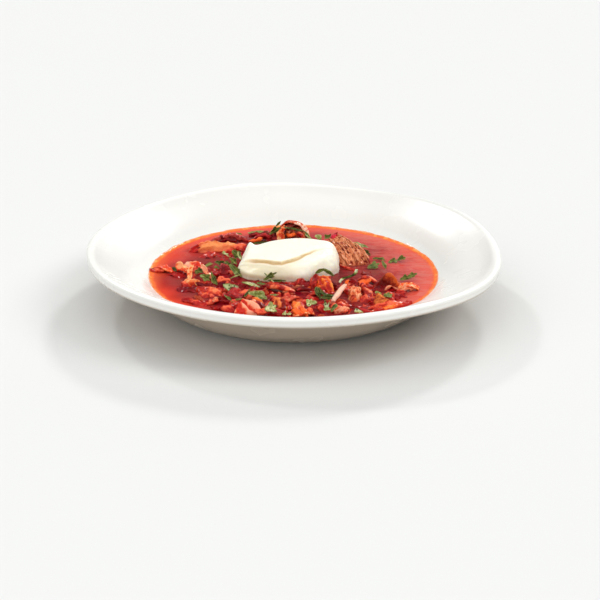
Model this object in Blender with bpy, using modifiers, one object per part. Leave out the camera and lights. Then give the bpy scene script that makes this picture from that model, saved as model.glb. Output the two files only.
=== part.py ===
"""Borscht with sour cream in a wide-rimmed soup plate.

Standalone Blender 4.5 script: blender --background --python part.py
The plate stands on z = 0 with its middle on the origin, +Z up, -Y towards the diner.
Every food piece that breaks the surface sits in a pocket of the broth, with a small gap all round.
"""
import math

import bmesh
import bpy
from mathutils import Vector, noise

MM = 0.001

# Driving dimensions, in millimetres.
PLATE_RADIUS = 140.0
LIP_TOP = 40.4
BROTH_LEVEL = 17.2
GAP = 0.45
SOCKET_GAP = 0.5
TURN_STEPS = 48
BROTH_CLEARANCE = 0.3

# The plate's section: under the foot, up the outside, over the lip and down into the well: (radius, height).
FOOT_INNER = 79.5
RECESS_HEIGHT = 2.2
WELL_FLOOR = 6.0
UNDERSIDE = (
    (0.0, RECESS_HEIGHT), (FOOT_INNER - 1.2, RECESS_HEIGHT), (FOOT_INNER, 0.0), (82.5, 0.0),
    (88.0, 1.9), (95.2, 5.9), (101.6, 11.2), (106.2, 16.8), (109.8, 21.0), (115.0, 24.9),
    (123.5, 29.2), (134.5, 32.9),
)
LIP = (
    (139.2, LIP_TOP - 6.3), (PLATE_RADIUS + 0.1, LIP_TOP - 5.3), (PLATE_RADIUS, LIP_TOP - 0.7),
    (138.8, LIP_TOP), (136.2, LIP_TOP - 0.3),
)
TOPSIDE = ((132.6, 38.0), (123.0, 32.8), (115.0, 28.8), (107.4, 23.9))
WELL = ((103.3, 20.5), (99.6, BROTH_LEVEL), (96.2, 13.2), (91.2, 8.9), (82.0, 6.5), (0.0, WELL_FLOOR))

# The rim is thrown by hand: (waves round the plate, millimetres of lift or reach, crest angle in degrees).
LIFT_WAVES = ((1, 0.7, 60), (2, 0.6, 73), (3, 0.35, 38), (4, 1.0, 27), (5, 0.6, 25))
REACH_WAVES = ((2, 1.5, -39), (3, 1.35, -32))
WAVE_START, WAVE_END = 101.0, 134.0
# The rim sags at the near right: (angle in degrees, millimetres, spread in degrees).
RIM_SAG = (-50.0, 1.2, 36.0)

# How far the stewed shreds spread from the middle: (angle in degrees, millimetres).
HEAP_SPREAD = (
    (0, 66), (30, 52), (60, 58), (95, 71), (130, 78), (160, 73), (190, 84), (220, 82), (250, 88),
    (285, 89), (320, 86), (342, 76),
)
HEAP_BOTTOM = 9.6
HEAP_SWELL = 1.3
HEAP_BUMP = 1.2
SOCKET_TOP = BROTH_LEVEL + HEAP_SWELL + HEAP_BUMP
# The flaked beef's top: the near-left, far-left, near-right and far-right ends of its fibres.
BEEF_CORNERS = ((24.0, 37.5, 26.8), (32.5, 44.0, 30.6), (34.0, 7.5, 18.6), (55.5, 14.0, 18.8))
BEEF_BOW = (2.6, 2.4, 1.0)

# The strip of cabbage that arches over the beef at the back.
CREST = ((-10.5, 66, 28.6), (-5.2, 64, 31.8), (0.1, 63.4, 32.0), (5.7, 62.5, 30.6), (8.6, 60, 27), (11.4, 58.2, 22))

CREAM_MIDDLE = (-3.0, 1.2)
CREAM_HALF_SIZE = (34.8, 24.0)
CREAM_BOTTOM = 17.9
CREAM_BULGE = 3.6
CREAM_TOP = 32.3
CREAM_LEDGE = 2.2
# The front edge of the swept sheet on the dollop's top, from the left to the right.
CREAM_SWEEP = ((-45, -1), (-32, -5.5), (-13.4, -15.2), (-8.2, -17.0), (2.2, -10), (12.8, -0.8), (30, 6), (45, 11))

COLOURS = {
    "porcelain": ((0.83, 0.82, 0.78), 0.22),
    "broth": ((0.42, 0.025, 0.018), 0.12),
    "stewed_vegetables": ((0.5, 0.045, 0.02), 0.3),
    "sour_cream": ((0.88, 0.84, 0.72), 0.35),
    "beef": ((0.4, 0.1, 0.05), 0.4),
    "potato": ((0.5, 0.12, 0.03), 0.3),
    "carrot": ((0.75, 0.16, 0.03), 0.28),
    "cabbage": ((0.78, 0.24, 0.13), 0.28),
    "beetroot": ((0.2, 0.008, 0.016), 0.25),
    "pepper": ((0.62, 0.06, 0.025), 0.22),
}


def clear_scene():
    for obj in list(bpy.data.objects):
        bpy.data.objects.remove(obj)


def new_collection(name):
    group = bpy.data.collections.new(name)
    bpy.context.scene.collection.children.link(group)
    return group


def make_material(name):
    colour, roughness = COLOURS[name]
    material = bpy.data.materials.new(name)
    material.use_nodes = True
    shader = material.node_tree.nodes["Principled BSDF"]
    shader.inputs["Base Color"].default_value = (*colour, 1.0)
    shader.inputs["Roughness"].default_value = roughness
    return material


def finish_piece(bm, name, material):
    """Turns the millimetre mesh into a named object in metres, shaded smooth."""
    bmesh.ops.scale(bm, vec=(MM, MM, MM), verts=bm.verts)
    bmesh.ops.recalc_face_normals(bm, faces=bm.faces)
    mesh = bpy.data.meshes.new(name)
    bm.to_mesh(mesh)
    bm.free()
    mesh.shade_smooth()
    mesh.set_sharp_from_angle(angle=math.radians(45))
    mesh.materials.append(material)
    obj = bpy.data.objects.new(name, mesh)
    FOOD.objects.link(obj)
    return obj


def hide_as_cutter(obj):
    obj.hide_render = True
    obj.display_type = "WIRE"
    POCKETS.objects.link(obj)
    return obj


def smooth_step(low, high, value):
    share = min(1.0, max(0.0, (value - low) / (high - low)))
    return share * share * (3.0 - 2.0 * share)


def waves(table, angle):
    return sum(size * math.cos(count * (angle - math.radians(crest))) for count, size, crest in table)


def rim_lift(angle):
    """How far the hand-thrown rim rises above its section at an angle."""
    middle, depth, spread = RIM_SAG
    away = math.degrees(math.remainder(angle - math.radians(middle), 2 * math.pi)) / spread
    return waves(LIFT_WAVES, angle) - depth * math.exp(-away ** 2)


def turned(section, steps=TURN_STEPS):
    """A bmesh in millimetres: the section spun about Z, closed where it meets the axis."""
    bm = bmesh.new()
    ring = [bm.verts.new((radius, 0.0, height)) for radius, height in section]
    edges = [bm.edges.new(pair) for pair in zip(ring, ring[1:])]
    bmesh.ops.spin(
        bm, geom=ring + edges, cent=(0, 0, 0), axis=(0, 0, 1), angle=2 * math.pi, steps=steps,
        use_merge=True, use_duplicate=False,
    )
    bmesh.ops.remove_doubles(bm, verts=bm.verts, dist=0.01)
    return bm


def make_plate(material):
    bm = turned(UNDERSIDE + LIP + TOPSIDE + WELL)
    for vert in bm.verts:
        radius = math.hypot(vert.co.x, vert.co.y)
        share = smooth_step(WAVE_START, WAVE_END, radius)
        if not share:
            continue
        angle = math.atan2(vert.co.y, vert.co.x)
        reach = 1.0 + share * waves(REACH_WAVES, angle) / radius
        vert.co.x *= reach
        vert.co.y *= reach
        vert.co.z += share * rim_lift(angle)
    return finish_piece(bm, "soup_plate", material)


def make_broth(material):
    """The broth lies in the well, just clear of the glaze, and is level on top."""
    inset = BROTH_CLEARANCE
    bed = [(max(0.0, radius - inset), height + inset) for radius, height in reversed(WELL[2:])]
    surface = [(WELL[1][0] - inset, BROTH_LEVEL), (0.0, BROTH_LEVEL)]
    return finish_piece(turned(bed + surface), "broth", material)


def spread_at(angle):
    """Reach of the stewed shreds at an angle in degrees, eased between the named ones."""
    turns = list(HEAP_SPREAD) + [(HEAP_SPREAD[0][0] + 360, HEAP_SPREAD[0][1])]
    for (low, near), (high, far) in zip(turns, turns[1:]):
        if low <= angle <= high:
            return near + (far - near) * smooth_step(low, high, angle)
    return near


def make_heap(material, rings=(0.3, 0.6, 0.85), steps=30):
    """The low island of stewed shreds: a turned puck whose rim follows HEAP_SPREAD and whose top is lumpy."""
    top = BROTH_LEVEL + HEAP_SWELL
    section = [(0.0, HEAP_BOTTOM), (0.86, HEAP_BOTTOM), (1.0, BROTH_LEVEL - 2.6), (0.985, BROTH_LEVEL + 0.4)]
    section += [(share, top) for share in reversed(rings)]
    section.append((0.0, top))
    bm = turned(section, steps)
    for vert in bm.verts:
        angle = math.degrees(math.atan2(vert.co.y, vert.co.x)) % 360
        reach = spread_at(angle)
        vert.co.x *= reach
        vert.co.y *= reach
        if vert.co.z > BROTH_LEVEL:
            vert.co.z += HEAP_BUMP * noise.noise(vert.co * 0.075)
            vert.co.z = max(vert.co.z, BROTH_LEVEL + 0.3)
    return finish_piece(bm, "stewed_vegetables", material)


def cream_reach(angle):
    """The dollop's plan: a rounded oblong, square at the back right, pointed at the back left, cut away at the front."""
    oblong = (abs(math.cos(angle)) ** 2.6 + abs(math.sin(angle)) ** 2.6) ** (-1 / 2.6)
    cut = 0.16 * math.exp(-(math.remainder(angle + 0.72, 2 * math.pi) / 0.42) ** 2)
    corner = 0.10 * math.exp(-(math.remainder(angle - 0.62, 2 * math.pi) / 0.26) ** 2)
    point = 0.10 * math.exp(-(math.remainder(angle - 2.52, 2 * math.pi) / 0.2) ** 2)
    return oblong * (1.0 + 0.02 * math.cos(2 * (angle - 0.6)) + 0.015 * math.cos(3 * angle + 1.0) - cut + corner + point)


def cream_top(x, y):
    """Height of the swept top: it leans towards the diner, and rises to a small peak at the back left."""
    peak = 3.6 * math.exp(-((x + 31.0) / 4.6) ** 2 - ((y - 15.5) / 4.6) ** 2)
    droop = 0.0022 if x < 8.0 else 0.0006
    return CREAM_TOP + 0.14 * y + 0.03 * x - droop * (x - 8.0) ** 2 + peak


def dollop(lowered, steps=30, rings=6):
    """A rounded oblong mound whose top follows cream_top, lowered by so much."""
    section = [(0.0, -1.0), (0.88, -1.0), (0.97, -0.5), (1.0, 0.0)]
    for ring in range(1, rings):
        turn = 0.5 * math.pi * ring / rings
        section.append((math.cos(turn) ** 0.52, math.sin(turn) ** 0.52))
    section.append((0.0, 1.0))
    bm = turned(section, steps)
    for vert in bm.verts:
        reach = cream_reach(math.atan2(vert.co.y, vert.co.x))
        vert.co.x = CREAM_MIDDLE[0] + vert.co.x * CREAM_HALF_SIZE[0] * reach
        vert.co.y = CREAM_MIDDLE[1] + vert.co.y * CREAM_HALF_SIZE[1] * reach
        middle = CREAM_BOTTOM + CREAM_BULGE
        if vert.co.z < 0:
            vert.co.z = middle + vert.co.z * CREAM_BULGE
        else:
            vert.co.z = middle + vert.co.z * (cream_top(vert.co.x, vert.co.y) - lowered - middle)
    return bm


def prism(plan, low, high):
    bm = bmesh.new()
    face = bm.faces.new([bm.verts.new((x, y, low)) for x, y in plan])
    raised = bmesh.ops.extrude_face_region(bm, geom=[face])["geom"]
    lifted = [part for part in raised if isinstance(part, bmesh.types.BMVert)]
    bmesh.ops.translate(bm, vec=(0, 0, high - low), verts=lifted)
    return bm


def cutter_from(bm, name):
    bmesh.ops.scale(bm, vec=(MM, MM, MM), verts=bm.verts)
    bmesh.ops.recalc_face_normals(bm, faces=bm.faces)
    mesh = bpy.data.meshes.new(name)
    bm.to_mesh(mesh)
    bm.free()
    return hide_as_cutter(bpy.data.objects.new(name, mesh))


def combine(host, other, operation):
    boolean = host.modifiers.new(other.name, "BOOLEAN")
    boolean.operation = operation
    boolean.solver = "EXACT"
    boolean.object = other


def make_cream(material):
    """The spoon's last sweep left a sheet on the top, whose front edge stands over the dollop's belly."""
    cream = finish_piece(dollop(0.0), "sour_cream", material)
    behind = list(CREAM_SWEEP) + [(45, 60), (-45, 60)]
    combine(cream, cutter_from(prism(behind, 10.0, 50.0), "cream_sweep"), "INTERSECT")
    combine(cream, cutter_from(dollop(CREAM_LEDGE), "cream_belly"), "UNION")
    return cream


def unit_block(along, across, deep=1):
    """A cube from 0 to 1 each way, cut into faces along, across and deep."""
    bm = bmesh.new()
    bmesh.ops.create_cube(bm, size=1.0)
    bmesh.ops.translate(bm, vec=(0.5, 0.5, 0.5), verts=bm.verts)
    for axis, cuts in enumerate((along, across, deep)):
        if cuts < 2:
            continue
        edges = [e for e in bm.edges if abs(e.verts[0].co[axis] - e.verts[1].co[axis]) > 0.5]
        bmesh.ops.subdivide_edges(bm, edges=edges, cuts=cuts - 1, use_grid_fill=True)
    return bm


def make_slab(name, material, corners, bottom, ridges=0.0, ridge_count=6, crown=0.8, along=4, across=4, rough=0.35, bow=(0, 0, 0)):
    """A cut piece whose top is a patch between four corners, rounded at its sides.

    corners are (x, y, z) of the near-left, far-left, near-right and far-right ends of the fibres, and bow pushes
    the middle of the far side.
    """
    start_near, start_far, end_near, end_far = (Vector(corner) for corner in corners)
    bm = unit_block(along, across, 2)
    seed = Vector((len(name) * 3.1, sum(map(ord, name)) % 17, 0.0))
    for vert in bm.verts:
        u, v, w = vert.co
        top = start_near.lerp(start_far, v).lerp(end_near.lerp(end_far, v), u)
        top += Vector(bow) * v * 4 * u * (1 - u)
        middle = (start_near + start_far + end_near + end_far) / 4
        edge = min(u, 1 - u, v, 1 - v)
        pulled = 1.0 - 0.12 * abs(w - 0.5) * 2
        place = middle.lerp(top, pulled)
        rise = crown * (smooth_step(0.0, 0.45, edge) - 0.5)
        wave = ridges * math.sin(v * ridge_count * 2 * math.pi + 3 * noise.noise(Vector((u * 2, v * 3, 0)) + seed))
        height = place.z + (rise + wave) * w
        place.z = bottom + (height - bottom) * w
        vert.co = place + rough * noise.noise_vector(place * 0.21 + seed) * (0.4 + w)
    return finish_piece(bm, name, material)


def through(points, share):
    """A point on the smooth curve through the points, and the way it heads."""
    points = [2 * points[0] - points[1], *points, 2 * points[-1] - points[-2]]
    spans = len(points) - 3
    index = min(int(share * spans), spans - 1)
    t = share * spans - index
    a, b, c, d = points[index:index + 4]
    straight, bent, twisted = c - a, 2 * a - 5 * b + 4 * c - d, 3 * b - a - 3 * c + d
    place = b + 0.5 * (straight * t + bent * t ** 2 + twisted * t ** 3)
    return place, (straight + 2 * bent * t + 3 * twisted * t ** 2).normalized()


def bezier(points, share):
    """A point on the curve that the control points pull, and the way it heads; past four, it meets each one."""
    points = [Vector(point) for point in points]
    if len(points) > 4:
        return through(points, share)
    while len(points) > 2:
        points = [a.lerp(b, share) for a, b in zip(points, points[1:])]
    return points[0].lerp(points[1], share), (points[1] - points[0]).normalized()


def make_strip(name, material, route, width, thickness, lean=0.0, along=6, taper=0.35, rough=0.3):
    """A bent strip with a rounded oblong section, leaning about its own run by so many degrees."""
    bm = unit_block(along, 2, 2)
    seed = Vector((0.0, len(name) * 1.7, sum(map(ord, name)) % 13))
    for vert in bm.verts:
        u, v, w = vert.co
        middle, heading = bezier(route, u)
        side = heading.cross(Vector((0, 0, 1))).normalized()
        rise = side.cross(heading)
        turn = math.radians(lean)
        flat, up = side * math.cos(turn) + rise * math.sin(turn), rise * math.cos(turn) - side * math.sin(turn)
        full = 1.0 - taper * abs(2 * u - 1) ** 2.5
        round_off = 0.82 if abs(v - 0.5) > 0.4 and abs(w - 0.5) > 0.4 else 1.0
        offset = flat * (v - 0.5) * width * full * round_off + up * (w - 0.5) * thickness * full * round_off
        vert.co = middle + offset + rough * noise.noise_vector(middle * 0.3 + seed)
    return finish_piece(bm, name, material)


def make_leaf(name, material, route, width, curl, thickness=1.6, along=7, across=3, ruffle=1.0):
    """A curled piece of cooked leaf: an open strip whose sides roll up by so many degrees, with Solidify."""
    bm = bmesh.new()
    bmesh.ops.create_grid(bm, x_segments=along, y_segments=across, size=0.5)
    seed = Vector((sum(map(ord, name)) % 11, 0.0, len(name) * 2.3))
    for vert in bm.verts:
        u, v = vert.co.x + 0.5, vert.co.y
        middle, heading = bezier(route, u)
        side = heading.cross(Vector((0, 0, 1))).normalized()
        rise = side.cross(heading)
        full = width * (1.0 - 0.45 * abs(2 * u - 1) ** 3)
        roll = math.radians(curl) * v
        radius = full / max(0.2, math.radians(abs(curl)))
        place = middle + side * radius * math.sin(roll) + rise * radius * (1 - math.cos(roll))
        vert.co = place + ruffle * noise.noise_vector(place * 0.16 + seed)
    obj = finish_piece(bm, name, material)
    shell = obj.modifiers.new("thickness", "SOLIDIFY")
    shell.thickness = thickness * MM
    shell.offset = 0.0
    shell.use_even_offset = True
    return obj


def grown_copy(obj):
    """The piece as it stands, grown by the gap: it cuts the seat that the piece has in a neighbour."""
    graph = bpy.context.evaluated_depsgraph_get()
    mesh = bpy.data.meshes.new_from_object(obj.evaluated_get(graph))
    cutter = bpy.data.objects.new(obj.name + "_seat", mesh)
    grow = cutter.modifiers.new("grow", "DISPLACE")
    grow.strength = GAP * MM
    grow.mid_level = 0.0
    return hide_as_cutter(cutter)


def points_of(obj, under=None):
    """The piece's corners with its modifiers applied, in millimetres, or those of the part under a height."""
    evaluated = obj.evaluated_get(bpy.context.evaluated_depsgraph_get())
    bm = bmesh.new()
    bm.from_mesh(evaluated.to_mesh())
    evaluated.to_mesh_clear()
    if under is not None:
        geom = bm.verts[:] + bm.edges[:] + bm.faces[:]
        bmesh.ops.bisect_plane(bm, geom=geom, plane_co=(0, 0, under * MM), plane_no=(0, 0, 1), clear_outer=True)
    points = [vert.co / MM for vert in bm.verts]
    bm.free()
    return points


def plan_round(points, clearance, sides=10):
    """The corners of the many-sided plan that holds every point, this far outside them."""
    lines = []
    for side in range(sides):
        turn = 2 * math.pi * side / sides
        way = Vector((math.cos(turn), math.sin(turn)))
        lines.append((way, max(point.xy.dot(way) for point in points) + clearance))
    corners = []
    for (way, far), (next_way, next_far) in zip(lines, lines[1:] + lines[:1]):
        across = way.x * next_way.y - way.y * next_way.x
        x = (far * next_way.y - next_far * way.y) / across
        y = (next_far * way.x - far * next_way.x) / across
        corners.append((x, y))
    return corners


def socket_of(obj):
    """An upright well round the part of the piece that is under the heap's top, open above."""
    low = points_of(obj, SOCKET_TOP)
    if not low:
        return None
    floor = min(point.z for point in low) - SOCKET_GAP
    well = prism(plan_round(low, SOCKET_GAP), floor, SOCKET_TOP + 14.0)
    return cutter_from(well, obj.name + "_socket")


def box_of(points):
    return [(min(point[i] for point in points), max(point[i] for point in points)) for i in range(3)]


def boxes_meet(a, b, margin=1.0):
    return all(low < top + margin and base < high + margin for (low, high), (base, top) in zip(a, b))


def cut_away(host, cutters, name):
    """One Boolean that takes a whole collection of cutters out of the host."""
    if not cutters:
        return
    group = bpy.data.collections.new(host.name + "_" + name)
    POCKETS.children.link(group)
    for cutter in cutters:
        group.objects.link(cutter)
    pocket = host.modifiers.new(name, "BOOLEAN")
    pocket.operation = "DIFFERENCE"
    pocket.solver = "EXACT"
    pocket.operand_type = "COLLECTION"
    pocket.collection = group


def seat_pieces(broth, heap, pieces):
    """Sinks the heap in the broth, every piece in the heap, and each piece in those made before it."""
    bpy.context.view_layer.update()
    grown = {piece.name: grown_copy(piece) for piece in pieces}
    cut_away(broth, [grown_copy(heap)], "heap_seat")
    broth.modifiers.new("facets", "TRIANGULATE")
    sockets = [socket for socket in map(socket_of, pieces) if socket]
    cut_away(broth, sockets, "sockets")
    cut_away(heap, sockets, "sockets")
    boxes = [box_of(points_of(piece)) for piece in pieces]
    for index, host in enumerate(pieces):
        guests = [piece for piece, box in zip(pieces[index + 1:], boxes[index + 1:]) if boxes_meet(boxes[index], box)]
        cut_away(host, [grown[guest.name] for guest in guests], "seats")


def make_pieces(look):
    """The pieces that stand out of the broth, low ones first: each later one cuts its seat in those before."""
    slab, strip, leaf = make_slab, make_strip, make_leaf
    beef, carrot, cabbage, pepper = look["beef"], look["carrot"], look["cabbage"], look["pepper"]
    beetroot, potato = look["beetroot"], look["potato"]
    return [
        strip("carrot_long", carrot, [(-77, 39.5, 17), (-69, 43.5, 22.8), (-52, 43.5, 21.4), (-35, 44, 17.6)], 11, 4.4, -36),
        strip("beetroot_back", beetroot, [(-63, 59, 16.6), (-57, 64, 22.4), (-45, 65.5, 21.4), (-34, 62.5, 17.6)], 6.0, 4.2, 15),
        leaf("cabbage_edge", cabbage, [(-94, 2, 17.6), (-91, -2, 21.6), (-84, -7, 17.6)], 7, 60),
        leaf("cabbage_fork", cabbage, [(-80, 3, 18.8), (-79, 0, 27.0), (-73, -5, 22.0), (-71, -16, 18.2)], 9, 120),
        slab("cabbage_curl", cabbage, [(-76, -31, 17.8), (-72.5, -28, 21.6), (-60.5, -33, 18.0), (-62.5, -29.5, 22.4)], 14.0, 0.6, 2, 1.6),
        slab("pepper_back", pepper, [(-79, 3.5, 18.2), (-76.5, 11.5, 20.8), (-64, 0.5, 18.6), (-64.5, 9, 21.4)], 13.2, crown=1.8),
        slab("pepper_big", pepper, [(-62, -53, 18.4), (-65, -36, 20.6), (-46, -51, 18.6), (-46, -42, 21.6)], 12.4),
        slab("beetroot_left", beetroot, [(-52, -8, 19.2), (-51, 3, 22.4), (-44, -8, 19.2), (-44, 2, 21.8)], 12.9),
        slab("beetroot_low", beetroot, [(-76, -45, 17.6), (-78, -36, 19.0), (-67, -44, 17.6), (-67, -35, 19.2)], 12.6),
        slab("pepper_fan", pepper, [(-38, -79, 19.0), (-33, -71, 26.0), (-17, -81, 18.8), (-23, -70, 25.0)], 12.5),
        slab("carrot_chip", carrot, [(-26, -64, 19.0), (-27, -58, 21.6), (-18, -65, 18.6), (-19, -60, 20.4)], 13.0),
        strip("pepper_strip", pepper, [(-17, -36, 18.8), (-8, -39, 22.2), (1, -44, 18.4)], 6.5, 3.4, 12),
        slab("pepper_tent", pepper, [(-14, -72, 18.6), (-12, -64, 24.2), (-3, -72, 18.8), (-4, -64, 23.8)], 12.6),
        slab("carrot_cube", carrot, [(0, -73, 18.4), (-1, -64, 21.2), (8, -72, 18.6), (8, -65, 20.8)], 12.9),
        leaf("cabbage_front", cabbage, [(0, -82, 17.8), (6, -82, 21.6), (13, -79, 17.8)], 7, 80),
        slab("carrot_wedge", carrot, [(16, -39, 19.4), (15, -26, 25.6), (28, -42, 19.2), (25, -28, 25.6)], 12.7, crown=1.6),
        strip("cabbage_rib", cabbage, [(26, -60, 18.6), (29, -54, 22.0), (35, -46, 25.6)], 4.6, 2.8, 20),
        slab("beef_front", beef, [(37, -56, 19.0), (37, -46, 24.8), (45, -56, 18.8), (44, -46, 24.2)], 12.5, 0.35),
        slab("pepper_skin", pepper, [(46.5, -56, 18.6), (46, -43, 24.0), (53, -55, 18.4), (52, -44, 21.6)], 12.9),
        strip("pepper_sliver", pepper, [(44, -22, 18.2), (50, -20, 23.0), (56, -25, 18.4)], 5.5, 3.2, 10),
        slab("potato_round", potato, [(54, -34, 19.2), (54.5, -25, 25.0), (75.5, -35, 19.6), (73, -24.5, 24.6)], 12.8, crown=9.8),
        slab("potato_wedge", potato, [(50.5, -64, 17.6), (53.5, -57, 24.6), (66.5, -62, 17.8), (63.5, -60, 20.4)], 13.1, crown=0.3),
        slab("beetroot_dice", beetroot, [(66, -53, 18.2), (65, -47, 20.6), (71, -52, 18.0), (71, -47, 19.6)], 13.0),
        strip("carrot_edge", carrot, [(47, -75, 17.2), (64, -71.5, 19.8), (77.2, -58.4, 17.5)], 5.4, 3.4, 10),
        leaf("cabbage_right", cabbage, [(72, -35, 17.6), (76, -34, 22.6), (83, -35, 17.6)], 9, 80),
        slab("beef_back", beef, [(-4, 55, 22.6), (-8, 67, 32.4), (11, 56, 20.6), (9, 68, 30.4)], 12.3, 0.5, 5, 1.2),
        leaf("cabbage_back", cabbage, [(-10, 57, 19.4), (-10, 60, 28.0), (-6, 58.5, 30.0)], 7.5, 100, ruffle=0.8),
        leaf("cabbage_crest", cabbage, CREST, 5.5, 60, ruffle=0.8),
        make_cream(look["sour_cream"]),
        slab("beef_flake", beef, BEEF_CORNERS, 12.1, 0.5, 5, 3.0, 8, 9, bow=BEEF_BOW),
        slab("beetroot_wedge", beetroot, [(25, 40.5, 27.2), (27, 45, 28.6), (31.5, 39, 27.6), (32.6, 44, 32.6)], 25.4),
    ]


def main():
    look = {name: make_material(name) for name in COLOURS}
    make_plate(look["porcelain"])
    broth = make_broth(look["broth"])
    heap = make_heap(look["stewed_vegetables"])
    seat_pieces(broth, heap, make_pieces(look))


# Noise vectors start from the clock unless they are given a seed.
noise.seed_set(3)
clear_scene()
FOOD = new_collection("borscht")
POCKETS = new_collection("pockets")
POCKETS.hide_render = True
main()
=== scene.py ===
"""Borscht with sour cream in a wide-rimmed soup plate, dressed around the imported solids.

The plate stands on z = 0 with its middle on the origin, +Z up, -Y towards the diner. Shapes are worked out
in millimetres and scaled to metres as each piece is finished.
"""
import math
import random

import bmesh
import bpy
from mathutils import Matrix, Vector, noise
from mathutils.geometry import interpolate_bezier


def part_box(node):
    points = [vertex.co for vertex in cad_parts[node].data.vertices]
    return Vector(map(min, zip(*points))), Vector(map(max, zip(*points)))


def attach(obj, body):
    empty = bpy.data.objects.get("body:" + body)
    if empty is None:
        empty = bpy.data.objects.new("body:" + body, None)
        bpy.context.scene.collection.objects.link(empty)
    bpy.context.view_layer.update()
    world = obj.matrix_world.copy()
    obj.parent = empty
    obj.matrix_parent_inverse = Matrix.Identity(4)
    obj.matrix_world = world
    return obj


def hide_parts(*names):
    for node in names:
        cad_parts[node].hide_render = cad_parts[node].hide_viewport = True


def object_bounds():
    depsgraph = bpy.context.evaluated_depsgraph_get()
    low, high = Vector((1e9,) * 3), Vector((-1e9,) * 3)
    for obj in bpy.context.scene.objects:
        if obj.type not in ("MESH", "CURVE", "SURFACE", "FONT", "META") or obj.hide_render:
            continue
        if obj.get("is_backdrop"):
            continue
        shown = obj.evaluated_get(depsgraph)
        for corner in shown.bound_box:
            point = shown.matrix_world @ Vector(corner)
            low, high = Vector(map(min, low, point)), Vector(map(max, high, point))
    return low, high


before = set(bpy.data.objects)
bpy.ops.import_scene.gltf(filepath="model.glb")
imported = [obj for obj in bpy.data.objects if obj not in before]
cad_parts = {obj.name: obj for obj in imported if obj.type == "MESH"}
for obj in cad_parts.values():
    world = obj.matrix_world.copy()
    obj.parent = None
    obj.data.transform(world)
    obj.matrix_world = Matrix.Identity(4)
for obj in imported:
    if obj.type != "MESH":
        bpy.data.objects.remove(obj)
CAD_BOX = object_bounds()
# Noise vectors start from the clock unless they are given a seed.
noise.seed_set(3)

bl_info = {
    "name": "Borscht in a Soup Plate",
    "version": (1, 0, 0),
    "blender": (4, 5, 0),
    "location": "View3D > Sidebar > Borscht",
    "description": "Builds a soup plate of borscht, piece by piece",
    "category": "Add Mesh",
}

MM = 0.001
BROTH_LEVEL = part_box("broth")[1].z / MM
SHORE_RADIUS = 99.6
UP = Vector((0, 0, 1))

# The plate's section, in millimetres: under the foot, up the outside, over the lip and down into the well.
PLATE_SECTION = (
    (0.0, 2.2), (78.3, 2.2), (79.5, 0.0), (82.5, 0.0), (88.0, 1.9), (95.2, 5.9), (101.6, 11.2), (106.2, 16.8),
    (109.8, 21.0), (115.0, 24.9), (123.5, 29.2), (134.5, 32.9), (139.2, 34.1), (140.1, 35.1), (140.2, 37.4),
    (140.0, 39.7), (138.8, 40.4), (136.2, 40.1), (132.6, 38.0), (128.5, 35.5), (123.0, 32.8), (115.0, 28.8),
    (107.4, 23.9), (103.3, 20.5), (99.6, 17.2), (96.2, 13.2), (91.2, 8.9), (82.0, 6.5), (0.0, 6.0),
)
# The rim is thrown by hand: (waves round the plate, millimetres of lift or reach, crest angle in degrees).
LIFT_WAVES = ((1, 0.7, 60), (2, 0.6, 73), (3, 0.35, 38), (4, 1.0, 27), (5, 0.6, 25))
REACH_WAVES = ((2, 1.5, -39), (3, 1.35, -32))
WAVE_START, WAVE_END = 101.0, 134.0
# The rim sags at the near right: (angle in degrees, millimetres, spread in degrees).
RIM_SAG = (-50.0, 1.2, 36.0)
# Where a painted highlight brightens the lip: millimetres from the axis, and millimetres up.
LIP_RADII, LIP_HEIGHTS = (134.0, 137.0), (33.5, 35.0)

# How far the stewed shreds spread from the middle: (angle in degrees, millimetres).
HEAP_SPREAD = (
    (0, 66), (30, 52), (60, 58), (95, 71), (130, 78), (160, 73), (190, 84), (220, 82), (250, 88),
    (285, 89), (320, 86), (342, 76),
)
# How far the larger pieces may reach down into the broth.
SUNK_DEPTH = 2.4

# The dollop of cream: its middle and half its size, half the oblong that the loose shreds keep clear of, the height
# of its foot, of its widest line above that and of its top, and how far the belly lies below the swept sheet.
CREAM_MIDDLE, CREAM_HALF_SIZE, CREAM_CLEAR = (-3.0, 1.2), (34.8, 24.0), (33.0, 22.0)
CREAM_BOTTOM, CREAM_BULGE, CREAM_TOP, CREAM_LEDGE = 17.9, 3.6, 32.3, 2.4
# The front edge of the swept sheet on the dollop's top, from the left to the right.
CREAM_SWEEP = (
    (-45, 1), (-32, -3.4), (-24, -7.2), (-13.4, -12.6), (-8.2, -14.2), (-3, -12.2), (2.2, -9.2), (7.5, -5),
    (12.8, -0.8), (19, 2.0), (30, 6), (45, 11),
)
# How the dollop's side leans in: (share of its reach, share of its height).
CREAM_SIDE = (
    (0.0, -1.3), (0.97, -1.3), (0.992, -0.9), (1.0, -0.4), (0.998, 0.0), (0.99, 0.14), (0.975, 0.28), (0.95, 0.44),
    (0.925, 0.6), (0.89, 0.75), (0.85, 0.87), (0.79, 0.945), (0.70, 0.98), (0.5, 0.995), (0.25, 1.0), (0.0, 1.0),
)


# ---------------------------------------------------------------- materials

def tint(red, green, blue):
    """A screen colour from 0 to 255 as the linear colour that shaders take."""
    def linear(value):
        value /= 255.0
        return value / 12.92 if value <= 0.04045 else ((value + 0.055) / 1.055) ** 2.4
    return (linear(red), linear(green), linear(blue))


def shaded(colour, share):
    """A colour so many times as bright."""
    return tuple(min(1.0, part * share) for part in colour)


BROTH_DYE = tint(165, 13, 15)
FLECK_YELLOW = tint(206, 190, 120)


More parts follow.
